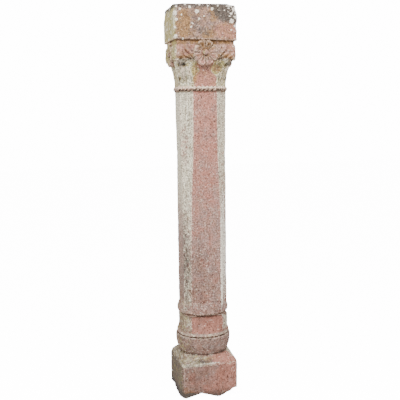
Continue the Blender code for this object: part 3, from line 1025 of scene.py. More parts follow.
# More or less of a stain round a place: the place, the reach along x, y and z, and how much.
PATCHES = {
    Stain.ROSE: (
        (-0.104, -0.084, 1.33, 0.05, 0.06, 0.19, 0.1), (0.0, -0.125, 1.7, 0.038, 0.04, 0.036, -0.4),
        (-0.046, -0.13, 1.685, 0.026, 0.05, 0.06, 0.3), (-0.01, -0.136, 0.2, 0.07, 0.03, 0.018, 0.45),
        (0.095, -0.158, 1.87, 0.075, 0.04, 0.055, 0.55), (0.065, -0.116, 0.39, 0.03, 0.04, 0.03, 0.6),
    ),
    Stain.OCHRE: (
        (-0.112, -0.158, 1.9, 0.048, 0.04, 0.095, 0.8), (0.048, -0.158, 1.958, 0.034, 0.04, 0.06, 0.5),
        (0.015, -0.158, 1.85, 0.05, 0.04, 0.03, 0.5), (0.0, -0.165, 1.803, 0.065, 0.06, 0.032, 0.9),
        (-0.056, -0.125, 1.655, 0.022, 0.04, 0.05, 0.55), (0.056, -0.13, 1.695, 0.042, 0.04, 0.04, 0.85),
        (-0.128, -0.15, 0.045, 0.06, 0.05, 0.045, 0.26), (0.05, -0.155, 1.745, 0.05, 0.04, 0.025, 0.35),
        (-0.046, -0.13, 1.685, 0.026, 0.05, 0.06, 0.3), (-0.078, -0.158, 1.744, 0.05, 0.04, 0.022, 0.36),
        (0.08, -0.158, 1.748, 0.055, 0.04, 0.026, 0.36), (-0.11, -0.15, 0.016, 0.06, 0.05, 0.034, 0.6),
    ),
    Stain.LICHEN: (
        (-0.158, -0.148, 1.93, 0.024, 0.02, 0.07, 0.24), (-0.158, -0.148, 1.77, 0.022, 0.016, 0.034, 0.26),
        (0.06, -0.13, 1.7, 0.052, 0.05, 0.042, -0.55), (0.13, -0.03, 0.2, 0.045, 0.13, 0.05, 0.95),
        (-0.1, -0.128, 1.65, 0.05, 0.05, 0.06, 0.2), (-0.104, -0.084, 1.33, 0.05, 0.06, 0.19, -0.54),
        (-0.046, -0.13, 1.685, 0.026, 0.05, 0.06, -0.6), (-0.01, -0.136, 0.198, 0.07, 0.03, 0.016, -0.3),
    ),
    Stain.ALGAE: (
        (0.056, -0.13, 1.695, 0.045, 0.04, 0.04, -0.5), (-0.158, -0.1, 1.9, 0.03, 0.1, 0.06, 0.3),
        (-0.046, -0.13, 1.685, 0.026, 0.05, 0.06, -0.5),
    ),
    Stain.DAMP: (
        (0.0, -0.165, 1.802, 0.065, 0.06, 0.03, 0.6), (0.098, -0.098, 0.8, 0.034, 0.034, 0.48, -0.45),
        (-0.09, -0.15, 0.01, 0.09, 0.06, 0.03, 0.5),
    ),
    Stain.CRUST: (
        (0.082, -0.112, 0.72, 0.013, 0.014, 0.48, 1.0), (0.098, -0.098, 0.82, 0.03, 0.03, 0.5, 0.72),
        (0.012, -0.15, 0.183, 0.105, 0.018, 0.006, 0.72),
    ),
    Stain.GRIME: (
        (-0.158, -0.06, 1.99, 0.05, 0.09, 0.028, 0.55), (0.098, -0.098, 0.8, 0.034, 0.034, 0.48, -0.3),
        # The first row is partly grime, partly a painted shadow on the slope above the plinth's edge.
        (-0.03, -0.14, 0.194, 0.064, 0.03, 0.012, 0.36), (-0.078, -0.158, 1.742, 0.045, 0.04, 0.018, 0.3),
        (0.08, -0.158, 1.746, 0.048, 0.04, 0.02, 0.3), (0.062, -0.13, 1.705, 0.045, 0.04, 0.035, 0.45),
        # Painted shade under the frieze's front corners.
        (-0.12, -0.13, 1.716, 0.04, 0.04, 0.024, 0.7), (0.13, -0.13, 1.716, 0.036, 0.04, 0.024, 0.7),
        # The second row darkens the plinth's broken front foot: partly grime, partly painted shade.
        (-0.104, -0.09, 0.76, 0.03, 0.05, 0.3, 0.34), (-0.11, -0.15, 0.006, 0.076, 0.06, 0.036, 1.6),
        (0.108, -0.158, 1.976, 0.086, 0.04, 0.078, 1.9), (0.15, -0.158, 1.93, 0.02, 0.05, 0.06, 0.5),
        (-0.05, -0.158, 1.92, 0.045, 0.04, 0.06, 0.22), (-0.01, -0.158, 1.865, 0.04, 0.04, 0.04, 0.25),
    ),
}
# The round crusts on the front of the top block: how far across, how high and how wide.
SPOTS = (
    (-0.145, 1.986, 0.007), (-0.126, 1.972, 0.006), (-0.102, 1.996, 0.007), (-0.079, 1.981, 0.008),
    (-0.032, 1.997, 0.008), (-0.043, 1.961, 0.01), (-0.034, 1.925, 0.007), (-0.067, 1.905, 0.006),
    (-0.073, 1.887, 0.006), (0.032, 1.974, 0.008), (0.115, 1.992, 0.008), (0.114, 1.979, 0.006),
    (0.142, 1.974, 0.011), (0.126, 1.952, 0.007), (0.129, 1.918, 0.011), (0.149, 1.935, 0.008),
    (0.092, 1.968, 0.004), (-0.153, 1.952, 0.013), (-0.145, 1.922, 0.008), (-0.151, 1.843, 0.01),
    (-0.115, 1.832, 0.006), (0.144, 1.894, 0.006), (0.126, 1.876, 0.005), (0.104, 1.989, 0.004),
    (0.128, 1.987, 0.005), (0.134, 1.962, 0.004), (0.11, 1.961, 0.004), (0.148, 1.955, 0.005),
    (0.151, 1.988, 0.006), (0.118, 1.94, 0.004), (0.14, 1.938, 0.004), (-0.12, 1.944, 0.004),
    (-0.152, 1.885, 0.006), (0.06, 1.99, 0.005), (0.01, 1.988, 0.005), (-0.01, 1.94, 0.004),
)


@dataclass(frozen=True)
class Weathering:
    """Where the stains of the column lie, by place, by the way a surface faces, and by its carving, and where
    painted shade and painted highlight lie with them.
    """

    spots_per_face: int = 26
    spread: float = 0.15

    def crusts(self, points: Array) -> Array:
        """The round lichen crusts of the top block.

        Args:
            points: The mesh's vertices.

        Returns:
            1 inside a crust, falling to 0 at its rim, for each vertex.
        """
        seeds = np.random.default_rng(SEED)
        crust = np.zeros(len(points))
        x, y, z = points.T

        def add(shown: Array, away: Array) -> None:
            """Adds a crust where it is shown, within a reach of 1."""
            np.maximum(crust, shown * fall(0.60, 1.25, away), out=crust)

        for side, (across, out) in enumerate(faces(points)):
            spots = [
                (
                    seeds.uniform(-self.spread, self.spread), 2.0 - 0.165 * seeds.random() ** 1.6,
                    seeds.uniform(0.004, 0.0095),
                )
                for _ in range(self.spots_per_face)
            ] if side else SPOTS
            for middle, height, radius in spots:
                add(rise(0.135, 0.150, out), np.hypot(across - middle, z - height) / radius)
        for _ in range(2 * self.spots_per_face):
            middle = seeds.uniform(-self.spread, self.spread, 2)
            away = np.hypot(x - middle[0], y - middle[1]) / seeds.uniform(0.004, 0.010)
            add(rise(1.992, 1.998, z), away)
        return crust

    @staticmethod
    def words(surface: Surface) -> dict[str, Array]:
        """The words that the stains are laid out in, each a value from 0 to 1 for each vertex.

        Args:
            surface: The mesh's surface.

        Returns:
            The values by word.
        """
        x, _, z = surface.points.T
        east, north, up = surface.normals.T
        leaf, cut = surface.kept("leaf"), surface.kept("cut")
        words = {
            zone: rise(low - SEAM, low + SEAM, z) * fall(high - SEAM, high + SEAM, z)
            for zone, (low, high) in ZONES.items()
        }
        words |= {
            "left": rise(0.25, 0.95, -east), "right": rise(0.25, 0.95, east), "front": rise(0.1, 0.7, -north),
            "back": rise(0.3, 0.9, north), "up": rise(0.20, 0.75, up), "down": rise(0.15, 0.75, -up),
            "leaf": leaf, "bare": 1.0 - leaf, "cut": cut, "flat": 1.0 - cut,
            "east": rise(-0.07, 0.11, x), "west": fall(-0.07, 0.11, x),
            "high": rise(0.70, 1.45, z), "low": fall(0.55, 1.05, z),
            "crown": rise(1.965, 1.999, z), "foot": fall(0.004, 0.055, z),
            "hem": fall(1.733, 1.765, z), "brow": fall(1.840, 1.935, z),
            "rim": rise(0.150, 0.176, z) * fall(0.180, 0.196, z),
            "arris": rise(0.169, 0.175, z) * fall(0.181, 0.186, z),
            "shade": rise(1.804, 1.810, z) * fall(1.834, 1.840, z),
        }
        words["lip"] = rise(1.727, 1.730, z) * fall(1.735, 1.741, z) * words["front"]
        words["side"] = np.maximum(words["left"], 0.7 * words["back"])
        words["open"] = 1.0 - words["side"]
        return words

    def stain(self, mesh: bpy.types.Mesh, bend_rounds: int) -> Surface:
        """Measures a finished mesh and keeps its stains, its paler arrises (partly a painted highlight) and
        the painted shade of its hollows as attributes.

        Args:
            mesh: The finished mesh.
            bend_rounds: How wide the surroundings are that an arris is measured against.

        Returns:
            The mesh's surface.
        """
        surface = Surface(mesh)
        points, words = surface.points, self.words(surface)
        for stain in Stain:
            amount = self.crusts(points) if stain is Stain.CRUST else 0.0
            for where, share in LAYOUT.get(stain, {}).items():
                amount = amount + share * np.prod([words[word] for word in where.split()], axis=0)
            for row in PATCHES.get(stain, ()):
                amount = amount + row[6] * near(points, row[:3], row[3:6], 0.25)
            surface.keep(stain.value, np.clip(amount, 0.0, 1.0))
        fine, broad = surface.bend(bend_rounds), surface.bend(6 * bend_rounds)
        # Paler arrises where the mesh stands out of its smoothed surroundings: partly worn stone, partly a
        # painted highlight.
        edge = 0.7 * rise(0.0001, 0.0010, fine) + 0.6 * rise(0.0006, 0.0032, broad)
        # Painted shade in hollows and creases, where the mesh sinks below its smoothed surroundings.
        hollow = 0.7 * rise(0.0001, 0.0007, -fine) + 0.8 * rise(0.0003, 0.0024, -broad)
        hollow = hollow * (1.0 - 0.75 * words["shade"]) * (1.0 - 0.9 * words["bell"] * words["bare"])
        for middle, reach, share in NOOK_SHADE:
            hollow = np.maximum(hollow, share * fall(0.0, reach, np.abs(points[:, 2] - middle)))
        surface.keep("edge", np.clip(edge, 0.0, 1.0))
        surface.keep("hollow", np.clip(np.maximum(hollow, surface.kept("crease")), 0.0, 1.0))
        return surface


@dataclass(frozen=True)
class Tones:
    """The colours of the stone and of what lies on it, with painted shade for hollows and a paler tone for
    arrises that is partly a painted highlight.
    """

    stone: Colour = (0.290, 0.160, 0.120, 1.0)
    stone_pale: Colour = (0.450, 0.270, 0.205, 1.0)
    mauve: Colour = (0.330, 0.225, 0.200, 1.0)
    rose: Colour = (0.440, 0.182, 0.135, 1.0)
    ochre: Colour = (0.310, 0.165, 0.060, 1.0)
    lichen: Colour = (0.820, 0.760, 0.570, 1.0)
    lichen_old: Colour = (0.470, 0.410, 0.320, 1.0)
    algae: Colour = (0.400, 0.345, 0.125, 1.0)
    damp: Colour = (0.520, 0.490, 0.460, 1.0)
    streak: Colour = (0.600, 0.560, 0.520, 1.0)
    grime: Colour = (0.072, 0.062, 0.054, 1.0)
    crust: Colour = (0.860, 0.770, 0.640, 1.0)
    # Paler tone of worn arrises, partly a painted highlight.
    edge: Colour = (0.760, 0.560, 0.430, 1.0)
    # Painted shade for hollows, creases and nooks.
    hollow: Colour = (0.190, 0.145, 0.115, 1.0)
    pit: Colour = (0.420, 0.380, 0.350, 1.0)


class Effects:
    """The shader groups that the stone finishes share."""

    def __init__(self) -> None:
        """Builds each group once."""
        self.grain, self.patchy = self.build_grain(), self.build_patchy()
        self.streaks, self.spots = self.build_streaks(), self.build_spots()

    @staticmethod
    def build_grain() -> Tree:
        """Sand grain and mottling: a tone and a height, both round 0.5.

        Returns:
            The group's tree.
        """
        group = Group("sand_grain", "Shader")
        place, scale = group.takes(vector="Vector", scale=1.0)
        broad = group.noise(place, scale * 22.0, 4.0, 0.6)
        middle = group.noise(place, scale * 140.0, 3.0, 0.7, 2.0)
        fine = group.noise(place, scale * 420.0, 4.0, 0.8, 5.0)
        return group.gives(tone=broad * 0.5 + middle * 0.5, height=middle * 0.6 + fine * 0.4)

    @staticmethod
    def build_patchy() -> Tree:
        """A ragged mask that covers about as much of the surface as its amount says.

        Returns:
            The group's tree.
        """
        group = Group("ragged_patches", "Shader")
        place, amount, size, soft, seed = group.takes(
            vector="Vector", amount=0.5, size=0.02, softness=0.25, seed=0.0)
        noise = group.span(group.noise(place, 1.0 / size, 7.0, 0.72, seed), 0.32, 0.68, kind="LINEAR")
        mask = group.span(amount * 1.25 + noise, 1.0 - soft, soft + 1.0)
        return group.gives(mask=mask * group.span(amount, 0.0, 0.15, kind="LINEAR"))

    @staticmethod
    def build_streaks() -> Tree:
        """Upright streaks that the rain has left.

        Returns:
            The group's tree.
        """
        group = Group("rain_streaks", "Shader")
        place, width, amount = group.takes(vector="Vector", width=0.012, amount=0.5)
        drawn = group.flow("ShaderNodeVectorMath", {0: place, 1: (1.0, 1.0, 0.09)}, operation="MULTIPLY")
        noise = group.noise(drawn, 1.0 / width, 4.0, 0.6, 9.0)
        return group.gives(mask=group.span(noise, 0.46, 0.68) * amount)

    @staticmethod
    def build_spots() -> Tree:
        """Small ragged round spots, as many as the amount says.

        Returns:
            The group's tree.
        """
        group = Group("lichen_speckle", "Shader")
        place, size, amount = group.takes(vector="Vector", size=0.01, amount=0.5)
        cells = group.cells(place, 1.0 / size).outputs
        lot, width = (
            group.flow("ShaderNodeSeparateColor", {0: Flow(group, cells["Color"])}, channel)
            for channel in (0, 1)
        )
        ragged = group.noise(place, 1.6 / size, 5.0, 0.75, 13.0) * 2.2 + Flow(group, cells["Distance"])
        disc = group.span(ragged - (width * 0.40 + 1.05), 0.0, 0.22, 1.0, 0.0)
        return group.gives(mask=disc * group.math("LESS_THAN", lot, amount))


@dataclass(frozen=True)
class SandstoneFinish:
    """One weathered sandstone finish: its grain, its relief and how strongly it is streaked."""

    name: str
    tones: Tones = Tones()
    grain_scale: float = 1.0
    bump: float = 0.0009
    streaks: float = 0.55
    roughness: tuple[float, float] = (0.82, 0.98)
    specular: float = 0.25
    contrast: float = 0.55
    pits: float = 0.34
    streak_width: float = 0.012
    cut_streaks: float = 0.0

    def build(self, effects: Effects) -> bpy.types.Material:
        """Builds the material.

        Args:
            effects: The shared shader groups.

        Returns:
            The finished material.
        """
        material = bpy.data.materials.new(self.name)
        material.use_nodes = True
        wires, tones = Wiring(material.node_tree), self.tones
        shader = material.node_tree.nodes["Principled BSDF"].inputs
        place = wires.flow("ShaderNodeTexCoord", {}, "Object")

        def said(name: str) -> Flow:
            """What the mesh says of a stain, a paler arris (partly a painted highlight) or the painted shade
            of a hollow.
            """
            settings = {"attribute_name": name, "attribute_type": "GEOMETRY"}
            return wires.flow("ShaderNodeAttribute", {}, "Fac", **settings)

        def effect(group: Tree, output: str = "Mask", **values: Value) -> Flow:
            """What a shared effect puts out."""
            inputs = {"Vector": place, **values}
            return wires.flow("ShaderNodeGroup", inputs, output, node_tree=group)

        def ragged(amount: Value, size: float, soft: float, seed: float) -> Flow:
            """An amount broken up into ragged patches."""
            return effect(effects.patchy, Amount=amount, Size=size, Softness=soft, Seed=seed)

        tone, height = (
            effect(effects.grain, output, Scale=self.grain_scale) for output in ("Tone", "Height")
        )
        lichen = wires.blend(wires.span(height, 0.40, 0.56), tones.lichen_old, tones.lichen)
        run = said("cut") * self.cut_streaks + self.streaks
        speckle = effect(effects.spots, Size=0.0080, Amount=said("speckle"))
        round_crusts = wires.span((height - 0.5) * 3.0 + said("crust"), 0.35, 0.75)
        crust = wires.math("MAXIMUM", round_crusts, speckle * 0.40) * 0.86
        shade = wires.span(height, 0.36, 0.64, 1.0 - self.contrast, 1.0 + self.contrast, kind="LINEAR")
        grey = wires.flow("ShaderNodeCombineColor", {0: shade, 1: shade, 2: shade})
        colour = wires.blend(wires.span(tone, 0.38, 0.62), tones.stone, tones.stone_pale)
        for mask, coat, kind in (
            (ragged(0.40, 0.034, 0.45, 11.0), tones.mauve, "MIX"),
            (ragged(said("rose"), 0.045, 0.42, 1.0) * 0.85, tones.rose, "MIX"),
            (ragged(said("ochre"), 0.022, 0.50, 2.0) * 0.87, tones.ochre, "MIX"),
            (ragged(said("damp"), 0.030, 0.60, 3.0), tones.damp, "MULTIPLY"),
            (ragged(said("algae"), 0.022, 0.36, 4.0) * 0.85, tones.algae, "MIX"),
            (ragged(said("lichen"), 0.017, 0.34, 5.0) * 0.90, lichen, "MIX"),
            (effect(effects.streaks, Amount=run, Width=self.streak_width), tones.streak, "MULTIPLY"),
            # Paler arrises: partly worn stone, partly a painted highlight.
            (said("edge") * wires.span(height, 0.40, 0.56) * 0.85, tones.edge, "MIX"),
            (effect(effects.spots, Size=0.0090, Amount=self.pits), tones.pit, "MULTIPLY"),
            (ragged(said("grime"), 0.014, 0.46, 6.0) * 0.90, tones.grime, "MIX"),
            # Painted shade in hollows, creases and nooks.
            (said("hollow"), tones.hollow, "MULTIPLY"),
            (crust, tones.crust, "MIX"),
            (1.0, grey, "MULTIPLY"),
        ):
            colour = wires.blend(mask, colour, coat, kind)
        wires.feed(shader["Base Color"], colour)
        wires.feed(shader["Roughness"], wires.span(tone, 0.3, 0.7, *self.roughness, kind="LINEAR"))
        wires.feed(shader["Specular IOR Level"], self.specular)
        relief = {"Height": crust * 0.5 + height, "Strength": 1.0, "Distance": self.bump}
        wires.feed(shader["Normal"], wires.flow("ShaderNodeBump", relief))
        return material


@dataclass
class Skin(ABC):
    """A closed length of the column's skin. A row of chips has a place, the reach and the depth."""

    name: str
    stations: Stations
    spacing: float
    weather: Weather
    finish: SandstoneFinish
    chips: Rows = ()
    bend_rounds: int = 2

    @abstractmethod
    def grid(self) -> tuple[Array, dict[str, Array]]:
        """The rings of this length, and what is known of each point."""

    def build(self, works: Works, tree: Tree, stains: Weathering, effects: Effects) -> bpy.types.Object:
        """Builds, weathers and dresses this length.

        Args:
            works: The yard that runs the geometry nodes.
            tree: The weathering tree.
            stains: Where the stains lie.
            effects: The shared shader groups.

        Returns:
            The finished piece.
        """
        surface = Surface.skinned(self.name, *self.grid())
        surface.keep("edge", rise(0.0003, 0.0025, surface.bend(3 * self.bend_rounds)))
        points = surface.points
        for x, y, z, reach, depth in self.chips:
            points = points - surface.normals * (depth * near(points, (x, y, z), reach, 0.35))[:, None]
        surface.mesh.vertices.foreach_set("co", points.astype(np.float32).ravel())
        surface.mesh.update()
        inputs = dict(self.weather.inputs(), Material=self.finish.build(effects))
        piece = works.run(self.name, surface.mesh, tree, inputs)
        stains.stain(piece.data, self.bend_rounds)
        return piece


@dataclass
class BaseSkin(Skin):
    """The plinth, the torus, the fillet and the drum."""

    plinth: Plinth = Plinth()
    torus: Torus = Torus()
    drum: Drum = Drum()

    def grid(self) -> tuple[Array, dict[str, Array]]:
        """The rings from the bearing to inside the roll.

        Returns:
            The rings as one array, and the values of each point by name.
        """
        torus_z = self.plinth.height + self.plinth.slope
        torus = self.torus.rings(self.stations, self.drum, torus_z)
        drum_z = torus_z + self.torus.height + self.torus.groove_height + self.torus.fillet_height
        drum = self.drum.rings(self.stations, self.torus.fillet_radius - self.torus.softness, drum_z)
        grid = densify(self.plinth.rings(self.stations, torus[0]) + torus + drum, self.spacing)
        z = grid[:, :, 2]
        cut = self.stations.chamfer_mask() * rise(drum_z, drum_z + 0.03, z)
        return grid, {"cut": cut, "held": z < 0.0005}


@dataclass
class ShaftSkin(Skin):
    """The roll and the shaft."""

    foot_z: float = 0.432
    roll: Roll = Roll()
    drum: Drum = Drum()
    shaft: Shaft = Shaft()

    def grid(self) -> tuple[Array, dict[str, Array]]:
        """The rings from inside the drum to inside the bell.

        Returns:
            The rings as one array, and the values of each point by name.
        """
        roll = self.roll.rings(self.stations, self.drum, self.shaft.halves[0], self.foot_z)
        shaft = self.shaft.rings(self.stations, self.foot_z + self.roll.height)
        grid = densify(roll + shaft, self.spacing)
        fade = rise(self.foot_z + 0.03, self.foot_z + 0.09, grid[:, :, 2])
        return grid, {"cut": self.stations.chamfer_mask() * fade}


@dataclass
class CapitalSkin(Skin):
    """The bell, the frieze, the recess and the abacus."""

    foot_z: float = 1.59114
    bell_z: float = 1.605
    bell: Bell = Bell()
    frieze: Frieze = Frieze()
    abacus: Abacus = Abacus()

    def section(self, half: float, chamfer: float, gap: float, relief: float = 0.0, lift: float = 0.0,
                carve: float = 0.0, rounding: float = 1.0) -> Array:
        """A section of the capital.

        Args:
            half: Half the width across the flats.
            chamfer: What the chamfer takes from each face.
            gap: Half the width of the bare panel.
            relief: How far the corner leaf stands proud.
            lift: How far the lobes lift the section.
            carve: How far the lobes push it out.
            rounding: 1 turns the chamfer into an arc.

        Returns:
            The ring's points above its bed.
        """
        edge, across = half - chamfer, self.stations.across()
        start = min(gap + self.bell.leaf_edge, edge - self.bell.leaf_edge)
        panel = np.linspace(0.0, gap, self.stations.panel + 1)
        y = np.r_[panel, np.linspace(start, edge, self.stations.leaf)]
        lobes = self.frieze.lobe(y)
        proud = relief * (np.arange(len(y)) >= len(panel))
        half_face = np.column_stack([half + proud + carve * lobes, y, lift * lobes])
        bulge = np.sin(math.pi * across) * rounding * chamfer * (math.sqrt(0.5) - 0.5)
        out = relief * mix(1.0, math.sqrt(0.5), np.sin(math.pi * across)) + bulge
        turn = across * math.pi / 2
        cut = np.column_stack([
            mix(half, edge, across) + out * np.cos(turn) + bulge * 0.2,
            mix(edge, half, across) + out * np.sin(turn) + bulge * 0.2, 0.0 * across,
        ])
        return whole_ring(half_face, cut)

    @staticmethod
    def pushed(ring: Array, out: Array) -> Array:
        """Moves each point of a ring outwards, square to the ring.

        Args:
            ring: The ring's points.
            out: How far each one moves.

        Returns:
            The moved ring.
        """
        along = np.roll(ring[:, :2], -1, axis=0) - np.roll(ring[:, :2], 1, axis=0)
        along /= np.maximum(np.linalg.norm(along, axis=1), 1e-9)[:, None]
        return ring + np.column_stack([along[:, 1] * out, -along[:, 0] * out, 0.0 * out])

    def bell_rings(self) -> tuple[list[Array], list[Array]]:
        """The bell's rings and where they lie on a leaf.

        Returns:
            The rings, and for each of them 1 on a leaf and 0 beside it.
        """
        bell = self.bell
        foot = self.section(bell.half, bell.foot_chamfer, bell.gap_foot - bell.leaf_edge, rounding=0.0)
        rings = [at_height(foot * 0.05, self.foot_z), at_height(foot, self.foot_z)]
        leaves = [np.zeros(len(foot))] * 2
        for share in np.linspace(0.03, 0.95, 52):
            gap, relief = bell.gap_at(share), bell.relief * rise(0.20, 0.50, share)
            rounding = rise(0.2, 0.8, share)
            ring = self.section(bell.half_at(share), bell.chamfer_at(share), gap, relief, rounding=rounding)
            out, leaf = bell.carving(ring, gap, share)
            rings.append(at_height(self.pushed(ring, out), self.bell_z + share * bell.height))
            leaves.append(leaf)
        return rings, leaves

    def frieze_rings(self, z: float) -> list[Array]:
        """The frieze's rings, from its root against the bell, at height z, to the recess.

        Args:
            z: The height of the frieze's root.

        Returns:
            The rings, from the lowest up.
        """
        bell, frieze, depth = self.bell, self.frieze, self.abacus.recess_depth
        root = self.section(bell.half_at(0.97), bell.top_chamfer, bell.gap_top, 0.0, frieze.scallop)
        rings = [at_height(root, z + 0.0015)]
        shares = (0.00, 0.10, 0.35, 0.65, 0.88, 0.98, 1.00)
        backs = (0.003, 0.0, 0.0, 0.0, 0.2 * depth, 0.5 * depth, depth)
        lifts, carves = (1.0, 0.9, 0.6, 0.3, 0.0, 0.0, 0.0), (0.3, 0.8, 1.0, 0.8, 0.3, 0.0, 0.0)
        for share in np.r_[np.linspace(0.0, 0.96, 34), 0.98, 1.0]:
            back, lift, carve = (np.interp(share, shares, sizes) for sizes in (backs, lifts, carves))
            lift, carve = lift * frieze.scallop, carve * frieze.relief
            ring = self.section(frieze.half - back, self.abacus.corner, bell.gap_top, 0.0, lift, carve)
            rings.append(at_height(self.pushed(ring, frieze.fluting(ring, share)), z + share * frieze.height))
        return rings

    def abacus_rings(self, z: float) -> list[Array]:
        """The recess and the block's rings, from the bottom of the block, at height z, to its top.

        Args:
            z: The height of the block's lower edge.

        Returns:
            The rings, from the lowest up.
        """
        abacus, wear = self.abacus, self.abacus.wear
        top = z + abacus.height
        profile = [
            (self.frieze.half - abacus.recess_depth, z - 0.0015, abacus.sag),
            (abacus.half - 0.003, z, abacus.sag),
            (abacus.half, z + 0.003, abacus.sag),
        ]
        worn = ((0.0, 1.0), (0.10, 0.6), (0.3, 0.3), (0.6, 0.10), (1.0, 0.0))
        profile += [(abacus.half - inward * wear, top - down * wear, 0.0) for inward, down in worn]
        rings = []
        for half, height, sag in profile:
            ring = self.section(half, abacus.corner, self.bell.gap_top)
            rings.append(at_height(ring, height - sag * ring[:, 0] / half))
        rings.append(rings[-1] * np.array([0.95, 0.95, 1.0]))
        for share in (0.88, 0.78, 0.62, 0.42, 0.2, 0.03):
            drawn_in = share * abacus.half / np.abs(rings[-1][:, 0]).max()
            rings.append(rings[-1] * np.array([drawn_in, drawn_in, 1.0]))
        return rings

    def grid(self) -> tuple[Array, dict[str, Array]]:
        """The rings from behind the cable moulding to the top.

        Returns:
            The rings as one array, and the values of each point by name.
        """
        rings, leaves = self.bell_rings()
        frieze_z = self.bell_z + self.bell.height
        rings += self.frieze_rings(frieze_z)
        rings += self.abacus_rings(frieze_z + self.frieze.height + self.abacus.recess_height)
        leaves += [np.zeros(len(rings[0]))] * (len(rings) - len(leaves))
        grid = densify([np.column_stack(pair) for pair in zip(rings, leaves)], self.spacing)
        return grid[:, :, :3].copy(), {"leaf": grid[:, :, 3]}


@dataclass
class Flowers:
    """An eight-petalled flower with a domed boss, on each side of the frieze."""

    name: str = "frieze_flowers"
    petals: int = 8
    radius: float = 0.0630
    rim: float = 0.009
    boss_radius: float = 0.0145
    boss_height: float = 0.0150
    parting: float = 0.0075
    root: float = 0.024
    shift: float = -0.002
    face: float = 0.1535
    middle_z: float = 1.767
    weather: Weather = Weather(
        sway=0.0004, rough=0.0007, rough_size=0.010, chip=0.0025, chip_size=0.014, pit=0.0009, pit_size=0.008,
        seed=5.0)

    def petal(self) -> bpy.types.Mesh:
        """One dished petal, closed at its sides and back, pointing along +X and facing +Z.

        Returns:
            The petal's mesh.
        """
        share, turn = np.meshgrid(np.linspace(0.0, 1.0, 16), np.linspace(-1.0, 1.0, 15), indexing="ij")
        side, angle = np.abs(turn), turn * math.pi / self.petals * 1.06
        reach = mix(0.80 * self.boss_radius, self.radius * (1.0 - 0.10 * side ** 2.2), share)
        height = mix(-0.003, self.rim, share ** 0.8) + 0.0022 * np.sin(math.pi * share) * side ** 2
        height -= 0.55 * self.rim * rise(0.86, 1.0, share)
        height -= self.parting * rise(0.62, 1.0, side) * mix(1.0, 0.75, share)
        height -= 0.0011 * fall(0.0, 0.22, side) * rise(0.15, 0.5, share)
        # Painted shade in the partings between the petals and round the boss.
        parted = rise(0.60, 0.95, side) * mix(1.0, 0.55, share)
        crease = np.maximum(parted, 0.95 * fall(0.10, 0.30, share)).ravel()
        top = np.stack([reach * np.cos(angle), reach * np.sin(angle), height], axis=-1).reshape(-1, 3)
        under = top * [1.0, 1.0, 0.0] - [0.0, 0.0, self.root]
        index, below = np.arange(share.size).reshape(share.shape), share.size
        quads = np.stack([index[:-1, :-1], index[1:, :-1], index[1:, 1:], index[:-1, 1:]], -1).reshape(-1, 4)
        loop = np.r_[index[0, :-1], index[:-1, -1], index[-1, :0:-1], index[:0:-1, 0]]
        after = np.roll(loop, -1)
        wall = np.column_stack([loop, after, after + below, loop + below])
        mesh = bpy.data.meshes.new("petal")
        points, skins = np.vstack([top, under]), np.vstack([quads, quads[:, ::-1] + below, wall])
        mesh.from_pydata(points.tolist(), [], skins.tolist())
        mesh.update()
        Surface(mesh).keep("crease", np.r_[crease, crease])
        return mesh

    def tree(self, works: Works) -> Tree:
        """The geometry nodes that ring the petals round a boss and set a flower on each side.

        Args:
            works: The yard, whose weathering the tree uses.

        Returns:
            The finished tree.
        """
        group = Group("flowers_on_frieze", "Geometry")
        petal, petals, radius, height, place = group.takes(
            geometry="Geometry", petals=self.petals, boss_radius=self.boss_radius,
            boss_height=self.boss_height, place="Vector")
        sizes = group.weather()
        index = group.flow("GeometryNodeInputIndex")
        worn = {2: 0.955, 3: 1.02, "Seed": SEED}
        worn = group.flow("FunctionNodeRandomValue", worn, 1, data_type="FLOAT")
        turn = (index + 0.5) * (2.0 * math.pi / petals)
        ring = group.ringed(petals, petal, turn, Scale=group.vector(worn, worn, 1.0))
        flower = group.join(ring, group.ball(28, 18, radius, height))
        flower = group.moved(flower, Translation=place, Rotation=(math.radians(90), 0.0, 0.0))
        return works.finish_tree(group, group.ringed(4, flower, index * math.radians(90)), sizes)

    def under_boss(self, points: Array) -> Array:
        """A painted shadow in a ring round each boss, strongest below it, from 0 to 1 for each point.

        Args:
            points: The mesh's vertices.

        Returns:
            The painted shadow at each vertex.
        """
        z = points[:, 2]
        shadows = [np.zeros(len(points))]
        for across, out in faces(points):
            away = np.hypot(across - self.shift, z - self.middle_z) / self.boss_radius
            ring = rise(0.84, 0.96, away) * fall(1.25, 1.75, away) * (out > self.face - self.root)
            shadows.append(ring * (0.35 + 0.65 * rise(-0.004, 0.006, self.middle_z - z)))
        return np.max(shadows, axis=0)

    def build(self, works: Works, stains: Weathering, material: bpy.types.Material) -> bpy.types.Object:
        """Builds the four flowers as one piece.

        Args:
            works: The yard that runs the geometry nodes.
            stains: Where the stains lie.
            material: The finish of the stone.

        Returns:
            The finished piece.
        """
        inputs = self.weather.inputs() | {
            "Material": material, "Petals": self.petals, "Place": (self.shift, -self.face, self.middle_z),
            "Boss Radius": self.boss_radius, "Boss Height": self.boss_height,
        }
        piece = works.run(self.name, self.petal(), self.tree(works), inputs)
        surface = stains.stain(piece.data, 2)
        below = rise(-0.005, 0.020, self.middle_z - surface.points[:, 2])
        for name, share in (("edge", 0.5), ("lichen", 0.2), ("ochre", 1.0 - 0.65 * below)):
            surface.keep(name, share * surface.kept(name))
        # Painted shadow round and under each boss.
        surface.keep("hollow", np.maximum(surface.kept("hollow"), self.under_boss(surface.points)))
        return piece


